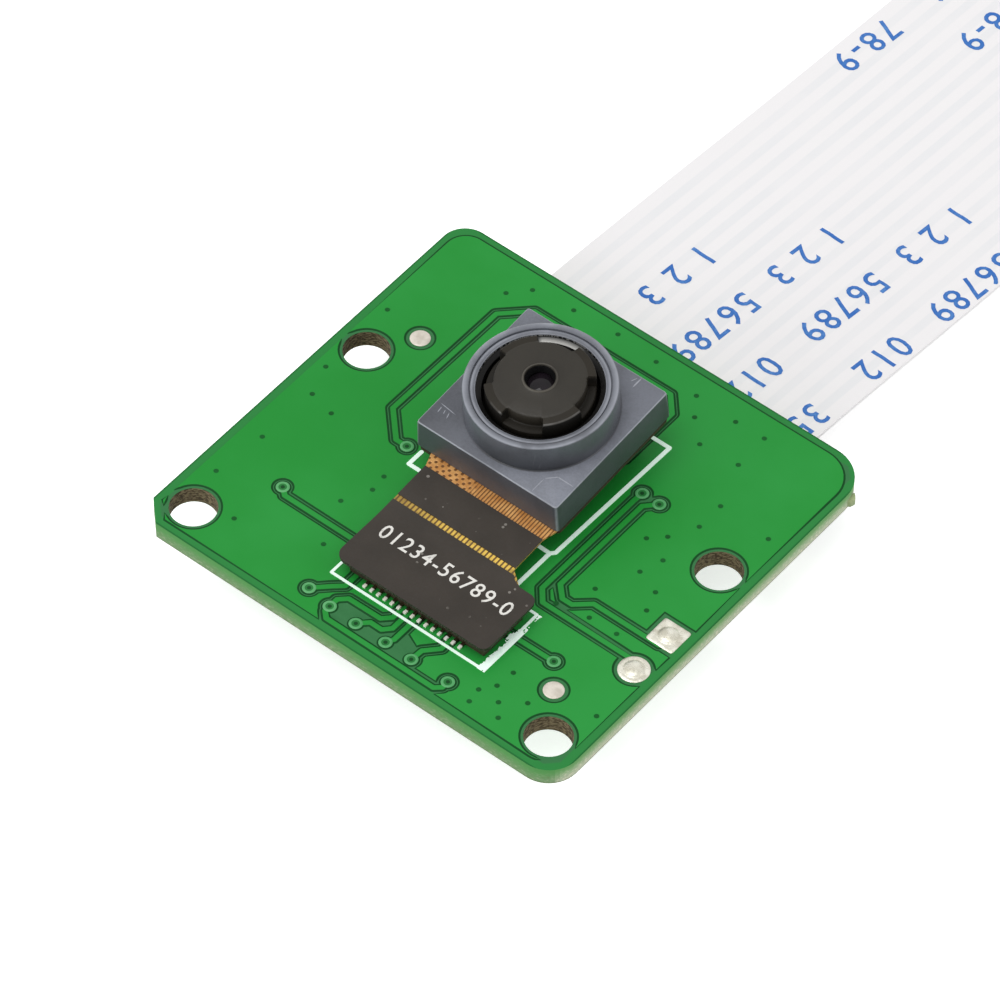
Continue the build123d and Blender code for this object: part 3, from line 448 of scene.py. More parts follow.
@dataclass(frozen=True)
class ScreenPrint:
    """White board ink, thin in places, with an optional painted glow that lifts it where it lies in shade."""

    ink: Colour = srgb(234, 248, 240)
    thin: Colour = srgb(200, 238, 214)
    # glow: strength of a painted glow, an emission that brightens the ink where it lies in shade.
    glow: float = 0.0

    def make(self) -> bpy.types.Material:
        """Builds the material."""
        bench = MaterialBench("white_print")
        grain = bench.effect(EffectGroup.GRAIN, Scale=3800.0)
        cloud = bench.effect(EffectGroup.CLOUD, Scale=900.0)
        worn_and_lit = bench.sheet.math("MULTIPLY", grain.outputs["Tone"], bench.sheet.ramp(cloud.outputs["Tone"], 0.45, 0.9))
        bench.bump(grain.outputs["Height"], 0.006, 0.6)
        colour = bench.sheet.mix(bench.sheet.math("MULTIPLY", worn_and_lit, 0.6), self.ink, self.thin)
        # The emission is painted light; the ink is no lamp.
        return bench.finish(Base_Color=colour, Roughness=0.6, Emission_Color=(*srgb(216, 255, 232), 1.0),
                            Emission_Strength=self.glow)


@dataclass(frozen=True)
class TinFinish:
    """Tinned metal: solder, pads and end caps."""

    name: str = "solder"
    bright: Colour = srgb(250, 248, 234)
    dull: Colour = srgb(214, 210, 192)
    metallic: float = 0.55
    roughness: float = 0.32

    def make(self) -> bpy.types.Material:
        """Builds the material."""
        bench = MaterialBench(self.name)
        cloud = bench.effect(EffectGroup.CLOUD, Scale=2200.0)
        grain = bench.effect(EffectGroup.GRAIN, Scale=5200.0)
        colour = bench.sheet.mix(cloud.outputs["Tone"], self.dull, self.bright)
        rough = bench.sheet.ramp(grain.outputs["Tone"], 0.0, 1.0, self.roughness - 0.08, self.roughness + 0.12)
        bench.bump(cloud.outputs["Tone"], 0.02, 0.5)
        return bench.finish(Base_Color=colour, Roughness=rough, Metallic=self.metallic)


@dataclass(frozen=True)
class MouldedFinish:
    """Moulded plastic or rubber with grain, scratches and a little dust, plus painted light where asked: painted
    sheen, glints and lit tops from the rubbed attribute, and painted highlights along edges.
    """

    name: str
    base: Colour
    light: Colour
    roughness: float = 0.5
    grain_scale: float = 9000.0
    grain_mm: float = 0.004
    scratches: float = 0.0
    dust: float = 0.0
    dust_colour: Colour = srgb(150, 145, 138)
    dust_scale: float = 1500.0
    dust_size: float = 0.22
    # edge_wear: how strongly a painted highlight is laid along edges marked by the wear attribute.
    edge_wear: float = 0.0
    edge_gain: float = 4.5
    # rubbed: the colour of painted sheen, glints and lit tops, laid where the rubbed attribute says.
    rubbed: Colour | None = None
    shine: float = 0.5

    def make(self) -> bpy.types.Material:
        """Builds the material."""
        bench = MaterialBench(self.name)
        sheet = bench.sheet
        grain = bench.effect(EffectGroup.GRAIN, Scale=self.grain_scale)
        cloud = bench.effect(EffectGroup.CLOUD, Scale=420.0)
        tone = sheet.math("ADD", sheet.math("MULTIPLY", grain.outputs["Tone"], 0.35),
                          sheet.math("MULTIPLY", cloud.outputs["Tone"], 0.65))
        colour = sheet.mix(tone, self.base, self.light)
        rough = sheet.ramp(grain.outputs["Tone"], 0.0, 1.0, self.roughness - 0.06, self.roughness + 0.08)
        # Painted light: the rubbed attribute lightens the colour towards the rubbed colour.
        if self.rubbed:
            shine = sheet.add("Attribute", attribute_name="rubbed").outputs["Fac"]
            painted_light_patches = sheet.math("MULTIPLY", shine, sheet.ramp(tone, 0.0, 1.0, 0.7, 1.0))
            colour = sheet.mix(painted_light_patches, colour, self.rubbed)
        if self.scratches:
            marks = bench.effect(EffectGroup.SCRATCHES, Scale=260.0)
            share = sheet.math("MULTIPLY", marks.outputs["Mask"], self.scratches)
            colour = sheet.mix(share, colour, tuple(min(1.0, c * 2.2 + 0.03) for c in self.light))
            rough = sheet.math("SUBTRACT", rough, sheet.math("MULTIPLY", share, 0.12))
        # Painted highlights along the edges marked by the wear attribute.
        if self.edge_wear:
            worn_and_lit = sheet.add("Attribute", attribute_name="wear").outputs["Fac"]
            patchy = sheet.ramp(cloud.outputs["Tone"], 0.0, 0.6, 0.45, 1.0)
            share = sheet.math("MULTIPLY", sheet.math("MULTIPLY", worn_and_lit, patchy), self.edge_wear)
            colour = sheet.mix(share, colour, tuple(min(1.0, c * self.edge_gain + 0.08) for c in self.light))
        if self.dust:
            specks = bench.effect(EffectGroup.DUST, Scale=self.dust_scale, Size=self.dust_size)
            colour = sheet.mix(sheet.math("MULTIPLY", specks.outputs["Mask"], self.dust), colour, self.dust_colour)
        bench.bump(grain.outputs["Height"], self.grain_mm, 0.8)
        return bench.finish(Base_Color=colour, Roughness=rough, Specular_IOR_Level=self.shine)


@dataclass(frozen=True)
class ContactMetal:
    """Gold-flashed spring contact metal, bright at its foot, with painted shade on its posts and the inner part of
    its tails.
    """

    gold: Colour = srgb(253, 249, 232)
    pale: Colour = srgb(255, 255, 250)
    shaded: Colour = srgb(54, 46, 28)

    def make(self) -> bpy.types.Material:
        """Builds the material."""
        bench = MaterialBench("contact_metal")
        cloud = bench.effect(EffectGroup.CLOUD, Scale=3000.0)
        grain = bench.effect(EffectGroup.GRAIN, Scale=12000.0)
        colour = bench.sheet.mix(cloud.outputs["Tone"], self.gold, self.pale)
        post = bench.sheet.ramp(bench.axis(2), 3.72 * MM, 3.8 * MM)
        inward = bench.sheet.math("ABSOLUTE", bench.sheet.math("ADD", bench.axis(1), 6.87 * MM))
        heel = bench.sheet.ramp(inward, 1.58 * MM, 1.63 * MM, 1.0, 0.0)
        # Painted shade on the posts and the inner tails, where the flex shades them.
        colour = bench.sheet.mix(bench.sheet.math("MAXIMUM", post, heel), colour, self.shaded)
        rough = bench.sheet.ramp(grain.outputs["Tone"], 0.0, 1.0, 0.22, 0.4)
        return bench.finish(Base_Color=colour, Roughness=rough, Metallic=0.1)


@dataclass(frozen=True)
class AmberFlex:
    """Bare flex: amber film over copper lines that run lengthwise, with a mesh of openings."""

    copper: Colour = srgb(236, 178, 108)
    copper_dull: Colour = srgb(204, 138, 70)
    film: Colour = srgb(112, 72, 30)
    dash: Colour = srgb(236, 196, 84)
    dash_gap: Colour = srgb(104, 76, 32)
    covered: Colour = srgb(40, 33, 27)
    line_pitch_mm: float = 0.17
    lattice_pitch_mm: float = 0.4

    def make(self) -> bpy.types.Material:
        """Builds the material."""
        bench = MaterialBench("amber_flex")
        sheet = bench.sheet
        across = bench.axis(0)
        along = bench.axis(1)
        phase = sheet.math("MULTIPLY", across, 2 * math.pi / (self.line_pitch_mm * MM))
        lines = sheet.ramp(sheet.math("SINE", phase), -0.9, 0.1)
        turn = 2 * math.pi / (self.lattice_pitch_mm * MM)
        slant = sheet.math("MULTIPLY", sheet.math("ADD", across, along), turn)
        other = sheet.math("MULTIPLY", sheet.math("SUBTRACT", across, along), turn)
        lattice = sheet.ramp(sheet.math("ADD", sheet.math("SINE", slant), sheet.math("SINE", other)), -1.25, -0.3)
        split = sheet.ramp(across, -1.1 * MM, -0.2 * MM)
        front = sheet.ramp(along, -3.2 * MM, -3.0 * MM)
        meshed = sheet.math("MULTIPLY", sheet.math("SUBTRACT", 1.0, split), front)
        pattern = sheet.math("ADD", sheet.math("MULTIPLY", lines, sheet.math("SUBTRACT", 1.0, meshed)),
                             sheet.math("MULTIPLY", lattice, meshed))
        cloud = bench.effect(EffectGroup.CLOUD, Scale=1600.0)
        bright = sheet.mix(cloud.outputs["Tone"], self.copper_dull, self.copper)
        window = sheet.mix(pattern, self.film, bright)
        dash_phase = sheet.math("MULTIPLY", across, 2 * math.pi / (1.35 * self.line_pitch_mm * MM))
        dashes = sheet.ramp(sheet.math("SINE", dash_phase), -0.75, 0.1)
        dashes = sheet.math("MULTIPLY", dashes, sheet.ramp(cloud.outputs["Tone"], 0.0, 0.5, 0.5, 1.0))
        dashes = sheet.math("MULTIPLY", dashes, sheet.ramp(across, -3.2 * MM, 1.0 * MM, 0.45, 1.0))
        colour = sheet.mix(front, sheet.mix(dashes, self.dash_gap, self.dash), window)
        colour = sheet.mix(sheet.ramp(along, -4.72 * MM, -4.6 * MM, 1.0, 0.0), colour, self.covered)
        bench.bump(pattern, 0.02, 0.5)
        return bench.finish(Base_Color=colour, Roughness=0.34, Metallic=sheet.math("MULTIPLY", pattern, 0.35),
                            Coat_Weight=0.25, Coat_Roughness=0.2)


@dataclass(frozen=True)
class RibbonFilm:
    """White ribbon film, with flat conductors that show faintly through it."""

    film: Colour = srgb(241, 239, 240)
    over_conductor: Colour = srgb(234, 234, 236)
    pitch_mm: float = 1.0

    def make(self) -> bpy.types.Material:
        """Builds the material; its pattern follows the ribbon's own width."""
        bench = MaterialBench("ribbon_film")
        sheet = bench.sheet
        across = sheet.math("MULTIPLY", sheet.add("Attribute", attribute_name="across").outputs["Fac"], MM)
        phase = sheet.math("MULTIPLY", across, 2 * math.pi / (self.pitch_mm * MM))
        conductor = sheet.ramp(sheet.math("COSINE", phase), -0.2, 0.5)
        edge = sheet.ramp(sheet.math("ABSOLUTE", across), 7.4 * MM, 7.6 * MM, 1.0, 0.0)
        share = sheet.math("MULTIPLY", conductor, edge)
        cloud = bench.effect(EffectGroup.CLOUD, Scale=300.0)
        grain = bench.effect(EffectGroup.GRAIN, Scale=2500.0)
        colour = sheet.mix(sheet.math("MULTIPLY", share, sheet.ramp(cloud.outputs["Tone"], 0.0, 1.0, 0.55, 1.0)),
                           self.film, self.over_conductor)
        rough = sheet.ramp(grain.outputs["Tone"], 0.0, 1.0, 0.34, 0.46)
        bench.bump(grain.outputs["Height"], 0.004, 0.4)
        return bench.finish(Base_Color=colour, Roughness=rough)


@dataclass(frozen=True)
class BlueInk:
    """Blue printing ink, uneven where it was rolled on."""

    name: str = "blue_ink"
    ink: Colour = srgb(38, 104, 186)
    thin: Colour = srgb(92, 146, 208)

    def make(self) -> bpy.types.Material:
        """Builds the material."""
        bench = MaterialBench(self.name)
        grain = bench.effect(EffectGroup.GRAIN, Scale=5200.0)
        cloud = bench.effect(EffectGroup.CLOUD, Scale=900.0)
        tone = bench.sheet.math("MULTIPLY", grain.outputs["Tone"], cloud.outputs["Tone"])
        colour = bench.sheet.mix(bench.sheet.math("MULTIPLY", tone, 0.8), self.ink, self.thin)
        return bench.finish(Base_Color=colour, Roughness=0.5)


@dataclass(frozen=True)
class LensGlass:
    """Coated lens glass, dark inside, with a faint violet sheen."""

    name: str = "lens_glass"
    tint: Colour = (0.006, 0.005, 0.006)
    sheen: Colour = (0.014, 0.009, 0.014)

    def make(self) -> bpy.types.Material:
        """Builds the material."""
        bench = MaterialBench(self.name)
        cloud = bench.effect(EffectGroup.CLOUD, Scale=900.0)
        colour = bench.sheet.mix(cloud.outputs["Tone"], self.tint, self.sheen)
        return bench.finish(Base_Color=colour, Roughness=0.08, Specular_IOR_Level=0.25, Coat_Weight=0.15,
                            Coat_Roughness=0.03, IOR=1.5)


@dataclass(frozen=True)
class FilterGlass:
    """Pale blue filter glass with a faint haze."""

    def make(self) -> bpy.types.Material:
        """Builds the material."""
        bench = MaterialBench("filter_glass")
        cloud = bench.effect(EffectGroup.CLOUD, Scale=700.0)
        colour = bench.sheet.mix(cloud.outputs["Tone"], (0.45, 0.72, 0.78), (0.6, 0.85, 0.9))
        return bench.finish(Base_Color=colour, Roughness=0.04, Transmission_Weight=0.9, IOR=1.5)


@dataclass(frozen=True)
class PixelArray:
    """Sensor window: fine rows of pixels under a greenish glaze."""

    def make(self) -> bpy.types.Material:
        """Builds the material."""
        bench = MaterialBench("pixel_array")
        sheet = bench.sheet
        rows = sheet.ramp(sheet.math("SINE", sheet.math("MULTIPLY", bench.axis(0), 90000.0)), -1.0, 1.0)
        cloud = bench.effect(EffectGroup.CLOUD, Scale=500.0)
        glaze = sheet.mix(cloud.outputs["Tone"], (0.05, 0.12, 0.09), (0.12, 0.07, 0.14))
        colour = sheet.mix(sheet.math("MULTIPLY", rows, 0.3), glaze, (0.2, 0.2, 0.22))
        return bench.finish(Base_Color=colour, Roughness=0.2, Metallic=0.4)


class FinishRack:
    """Every finished material, made once and handed out by name."""

    def __init__(self) -> None:
        """Builds all the materials."""
        moulded = MouldedFinish
        self.mask = SolderMask().make()
        # The board print gets a painted glow, lifting it where the holder shades it.
        self.print = ScreenPrint(glow=0.17).make()
        self.solder = TinFinish().make()
        self.pad = TinFinish("bare_pad", srgb(232, 224, 212), srgb(206, 198, 184), 0.35, 0.48).make()
        # The holder's rubbed colour paints sheen on its top and rim, and its edge highlights are painted too.
        self.holder = moulded("holder_plastic", srgb(39, 40, 43), srgb(54, 56, 61), 0.4, 9000.0, 0.0035,
                              scratches=0.6, edge_wear=1.0, edge_gain=6.0, rubbed=srgb(134, 138, 149)).make()
        # The barrel's edge highlight is a painted highlight round the aperture lip.
        self.barrel = moulded("barrel_plastic", srgb(34, 30, 23), srgb(44, 40, 32), 0.5, 12000.0, 0.0025,
                              edge_wear=0.3, shine=0.42).make()
        # barrel_shaded: the barrel's own plastic painted near black as shade on its tab walls and notches, with its
        # lit tops lifted by rubbed.
        self.barrel_shaded = moulded("barrel_plastic_shaded", srgb(12, 11, 9), srgb(19, 17, 14), 0.5, 12000.0, 0.0025,
                              edge_wear=1.0, rubbed=srgb(45, 41, 34), shine=0.2).make()
        # bore_shaded: the holder's bore and the aperture's cone, painted near black as shade.
        self.bore_shaded = moulded("bore_plastic_shaded", srgb(8, 8, 9), srgb(14, 14, 15), 0.5, shine=0.2).make()
        # thread_shade: the bore's thread painted dark as shade, with a painted glint where the rubbed attribute is
        # set.
        self.thread_shade = moulded("bore_thread_shade_and_glint", srgb(10, 10, 10), srgb(22, 21, 20), 0.4,
                              rubbed=srgb(232, 231, 226), shine=0.25).make()
        self.rub_mark = moulded("rub_mark", srgb(138, 141, 150), srgb(168, 171, 180), 0.45).make()
        self.glass = LensGlass().make()
        self.spacer = moulded("spacer_film", srgb(14, 14, 14), srgb(22, 22, 22), 0.7).make()
        self.filter = FilterGlass().make()
        self.pixels = PixelArray().make()
        self.silicon = moulded("silicon", srgb(66, 68, 74), srgb(88, 90, 98), 0.25, 20000.0, 0.001).make()
        self.cover = moulded("cover_film", srgb(43, 37, 30), srgb(56, 49, 42), 0.62, 7000.0, 0.004,
                             dust=0.6, dust_scale=2300.0, dust_size=0.18, shine=0.45).make()
        self.amber = AmberFlex().make()
        self.stiffener = moulded("stiffener", srgb(46, 32, 22), srgb(64, 44, 28), 0.6).make()
        self.foam = moulded("foam", srgb(26, 26, 26), srgb(44, 44, 44), 0.9, 3500.0, 0.03).make()
        self.connector = moulded("connector_plastic", srgb(44, 38, 28), srgb(66, 58, 42), 0.5).make()
        self.contact = ContactMetal().make()
        self.zif = moulded("cream_plastic", srgb(206, 196, 172), srgb(220, 212, 190), 0.48, 6000.0, 0.004).make()
        self.latch = moulded("dark_plastic", srgb(30, 27, 25), srgb(46, 42, 40), 0.45, 7000.0, 0.004).make()
        self.chip = moulded("chip_plastic", srgb(28, 28, 29), srgb(44, 44, 46), 0.55, 5000.0, 0.006).make()
        self.ceramic = moulded("ceramic", srgb(140, 110, 76), srgb(168, 138, 100), 0.5, 5000.0, 0.004).make()
        self.can = TinFinish("can_metal", srgb(222, 214, 196), srgb(190, 182, 164), 0.9, 0.28).make()
        self.ribbon = RibbonFilm().make()
        self.blue_ink = BlueInk().make()
        self.blue_film = BlueInk("blue_film", srgb(30, 84, 170), srgb(44, 100, 190)).make()
        self.text_ink = ScreenPrint(srgb(226, 224, 218), srgb(150, 146, 138)).make()


# Mesh helpers


class Workpiece:
    """A mesh under construction, in millimetres, in the part's frame or a piece's own frame."""

    def __init__(self, name: str) -> None:
        """Starts an empty mesh.

        Args:
            name: the finished object's name.
        """
        self.name = name
        self.mesh = bmesh.new()

    def transform(self, matrix: Matrix) -> None:
        """Places the whole mesh."""
        bmesh.ops.transform(self.mesh, matrix=matrix, verts=self.mesh.verts)

    def loft(self, samples: int, rings: Sequence[Callable[[float], Point2]], closed: bool = False,
             capped: tuple[bool, bool] = (False, False), slots: dict[int, int] | None = None,
             worn_and_lit: Sequence[int] = ()) -> None:
        """Draws a skin over rings about the Z axis.

        Args:
            samples: points round each ring.
            rings: for each ring, gives the radius and height at an angle.
            closed: whether the last ring joins the first.
            capped: whether the first and the last ring are filled.
            slots: material slot from a ring's number on, until the next number given.
            worn_and_lit: numbers of the rings marked with the wear attribute, for a painted highlight along their
                edge.
        """
        # The wear attribute marks rings where a finish paints a highlight along an edge.
        wear = self.mesh.verts.layers.float.new("wear")
        made = bmesh.ops.create_circle(self.mesh, cap_ends=False, segments=samples, radius=1.0)
        verts = made["verts"]
        edges = list({edge for vert in verts for edge in vert.link_edges})
        first_edges = edges
        place_ring(verts, rings[0])
        if capped[0]:
            bmesh.ops.contextual_create(self.mesh, geom=edges)
        slot = 0
        for number, ring in enumerate(rings[1:], start=1):
            slot = (slots or {}).get(number, slot)
            grown = bmesh.ops.extrude_edge_only(self.mesh, edges=edges)["geom"]
            verts = [item for item in grown if isinstance(item, bmesh.types.BMVert)]
            edges = [item for item in grown if isinstance(item, bmesh.types.BMEdge)]
            for face in (item for item in grown if isinstance(item, bmesh.types.BMFace)):
                face.material_index = slot
            for vert in verts:
                vert[wear] = 1.0 if number in worn_and_lit else 0.0
            place_ring(verts, ring)
        if capped[1]:
            bmesh.ops.contextual_create(self.mesh, geom=edges)
        if closed:
            bmesh.ops.bridge_loops(self.mesh, edges=first_edges + edges)
        bmesh.ops.recalc_face_normals(self.mesh, faces=self.mesh.faces)

    def plate(self, outline: Sequence[Point2], low: float, high: float) -> None:
        """Adds a flat plate.

        Args:
            outline: its corners in X and Y.
            low: height of its underside.
            high: height of its top.
        """
        verts = [self.mesh.verts.new((x, y, low)) for x, y in outline]
        base = self.mesh.faces.new(verts)
        grown = bmesh.ops.extrude_face_region(self.mesh, geom=[base])["geom"]
        raised = [item for item in grown if isinstance(item, bmesh.types.BMVert)]
        bmesh.ops.translate(self.mesh, vec=(0, 0, high - low), verts=raised)
        bmesh.ops.recalc_face_normals(self.mesh, faces=self.mesh.faces)

    def finish(self, body: str, materials: Sequence[bpy.types.Material], crease_deg: float = 32.0,
               bevel_mm: float = 0.0, segments: int = 2) -> bpy.types.Object:
        """Turns the mesh into an object in metres that rides on a body.

        Args:
            body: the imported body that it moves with.
            materials: its material slots.
            crease_deg: edges sharper than this stay sharp.
            bevel_mm: width of a bevel on its sharp edges.
            segments: steps of that bevel.

        Returns:
            The finished object.
        """
        if bevel_mm:
            sharp = [edge for edge in self.mesh.edges
                     if len(edge.link_faces) == 2 and edge.calc_face_angle(0.0) > math.radians(40)]
            bmesh.ops.bevel(self.mesh, geom=sharp, offset=bevel_mm, segments=segments, profile=0.5,
                            affect="EDGES", material=-1, clamp_overlap=True)
        bmesh.ops.scale(self.mesh, vec=(MM, MM, MM), verts=self.mesh.verts)
        data = bpy.data.meshes.new(self.name)
        self.mesh.to_mesh(data)
        self.mesh.free()
        for material in materials:
            data.materials.append(material)
        data.shade_smooth()
        data.set_sharp_from_angle(angle=math.radians(crease_deg))
        made = bpy.data.objects.new(self.name, data)
        bpy.context.scene.collection.objects.link(made)
        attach(made, body)
        LOG.info("%s: %d faces on %s", self.name, len(data.polygons), body)
        return made


def place_ring(verts: Sequence[bmesh.types.BMVert], ring: Callable[[float], Point2]) -> None:
    """Moves a ring's points to the radius and height for their angles."""
    for vert in verts:
        angle = math.atan2(vert.co.y, vert.co.x)
        radius, height = ring(angle)
        vert.co = (radius * math.cos(angle), radius * math.sin(angle), height)


def round_ring(radius: float, height: float) -> Callable[[float], Point2]:
    """A circle of one radius at one height."""
    return lambda angle: (radius, height)


def square_ring(half: float, corner: float, height: float) -> Callable[[float], Point2]:
    """A rounded square, met by rays from its middle.

    Args:
        half: half its side.
        corner: its corner radius.
        height: its height.

    Returns:
        The ring's radius and height at an angle.
    """

    def at(angle: float) -> Point2:
        """Distance from the middle along one ray."""
        x = abs(math.cos(angle))
        y = abs(math.sin(angle))
        reach = half / max(x, y)
        centre = half - corner
        if min(x, y) * reach > centre:
            along = centre * (x + y)
            beside = abs(centre * (x - y))
            reach = along + math.sqrt(max(corner**2 - beside**2, 0.0))
        return (reach, height)

    return at


def dress(nodes: dict[str, bpy.types.Object], name: str, material: bpy.types.Material) -> None:
    """Gives a carried-over node its finish."""
    data = nodes[name].data
    data.materials.clear()
    data.materials.append(material)


def softened_copy(nodes: dict[str, bpy.types.Object], name: str, body: str, material: bpy.types.Material,
                  width_mm: float, segments: int = 2) -> bpy.types.Object:
    """Makes a copy of a node with its sharp edges rounded, to stand for it.

    Args:
        nodes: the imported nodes.
        name: the node to copy.
        body: the body that it rides on.
        material: its finish.
        width_mm: the rounding's width.
        segments: steps of the rounding.

    Returns:
        The new piece.
    """
    work = Workpiece(name + "_rounded")
    work.mesh.from_mesh(nodes[name].data)
    bmesh.ops.scale(work.mesh, vec=(1000, 1000, 1000), verts=work.mesh.verts)
    bmesh.ops.remove_doubles(work.mesh, verts=work.mesh.verts, dist=0.0005)
    bmesh.ops.dissolve_limit(work.mesh, angle_limit=math.radians(1.0), verts=work.mesh.verts,
                             edges=work.mesh.edges, use_dissolve_boundaries=False)
    piece = work.finish(body, [material], 35.0, width_mm, segments)
    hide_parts(name)
    return piece


# Sub-assemblies


@dataclass
class Studio:
    """Camera, lamps, white surroundings and floor."""

    azimuth: float = 37.97
    elevation: float = 50.08
    roll: float = 1.33
    distance_mm: float = 317.75
    lens: float = 247.66
    target: Point3 = (0.124, -0.617, 3.6)

    def build(self) -> None:
        """Sets up everything that isn't part of the object."""
        self.add_camera()
        self.add_world()
        self.add_lamps()
        self.add_floor()

    def add_camera(self) -> None:
        """Places the camera where the photograph was taken from."""
        azimuth, elevation, roll = (math.radians(v) for v in (self.azimuth, self.elevation, self.roll))
        back = Vector((math.sin(azimuth) * math.cos(elevation), -math.cos(azimuth) * math.cos(elevation),
                       math.sin(elevation)))
        level = Vector((math.cos(azimuth), math.sin(azimuth), 0))
        upward = back.cross(level)
        right = level * math.cos(roll) + upward * math.sin(roll)
        above = upward * math.cos(roll) - level * math.sin(roll)
        data = bpy.data.cameras.new("view_camera")
        data.lens = self.lens
        data.sensor_width = 36.0
        data.clip_start = 0.01
        data.clip_end = 20.0
        camera = bpy.data.objects.new("view_camera", data)
        place = Vector(self.target) * MM + back * self.distance_mm * MM
        camera.matrix_world = Matrix.Translation(place) @ Matrix((right, above, back)).transposed().to_4x4()
        bpy.context.scene.collection.objects.link(camera)
        bpy.context.scene.camera = camera

    def add_world(self) -> None:
        """Surrounds the object with plain soft light, white to the camera."""
        world = bpy.data.worlds.new("surroundings")
        world.use_nodes = True
        bpy.context.scene.world = world
        sheet = NodeSheet(world.node_tree)
        plain = world.node_tree.nodes["Background"]
        plain.inputs["Color"].default_value = (1.0, 1.0, 1.0, 1.0)
        path = sheet.add("LightPath")
        seen = path.outputs["Is Camera Ray"]
        mirrored = sheet.math("MAXIMUM", path.outputs["Is Glossy Ray"], path.outputs["Is Transmission Ray"])
        dim = sheet.math("ADD", 0.62, sheet.math("MULTIPLY", mirrored, 0.1))
        strength = sheet.math("MAXIMUM", dim, seen)
        world.node_tree.links.new(strength, plain.inputs["Strength"])

    def add_lamps(self) -> None:
        """Hangs a large soft box above and weaker ones in front and at the right."""
        lamps = (
            ("overhead", (-0.06, -0.13, 0.50), 0.34, 1.05),
            ("front_fill", (-0.16, -0.50, 0.20), 0.30, 0.8),
            ("right_fill", (0.45, 0.10, 0.22), 0.26, 0.25),
        )
        for name, place, size, power in lamps:
            data = bpy.data.lights.new(name, "AREA")
            data.shape = "RECTANGLE"
            data.size = size
            data.size_y = size
            data.energy = power
            lamp = bpy.data.objects.new(name, data)
            lamp.location = place
            lamp.rotation_euler = (-Vector(place)).to_track_quat("-Z", "Y").to_euler()
            bpy.context.scene.collection.objects.link(lamp)

    def add_floor(self) -> None:
        """Lays a wide white floor that keeps the object's soft shadow."""
        work = bmesh.new()
        bmesh.ops.create_grid(work, x_segments=2, y_segments=2, size=3.0)
        data = bpy.data.meshes.new("floor")
        work.to_mesh(data)
        work.free()
        bench = MaterialBench("floor_white")
        sheet = bench.sheet
        path = sheet.add("LightPath")
        cloud = bench.effect(EffectGroup.CLOUD, Scale=3.0)
        tone = sheet.ramp(cloud.outputs["Tone"], 0.0, 1.0, 0.985, 1.0)
        seen = sheet.math("MAXIMUM", path.outputs["Is Camera Ray"],
                          sheet.math("MAXIMUM", path.outputs["Is Glossy Ray"], path.outputs["Is Transmission Ray"]))
        glow = sheet.math("MULTIPLY", seen, tone)
        sheet.feed(bench.shader, Emission_Color=sheet.mix(glow, (0.0, 0.0, 0.0), (1.0, 1.0, 1.0)))
        data.materials.append(bench.finish(Base_Color=(0.8, 0.8, 0.8, 1.0), Roughness=0.9, Emission_Strength=0.68,
                                           Specular_IOR_Level=0.1))
        floor = bpy.data.objects.new("floor", data)
        floor.location = (0.0, 0.0, -0.0001)
        bpy.context.scene.collection.objects.link(floor)


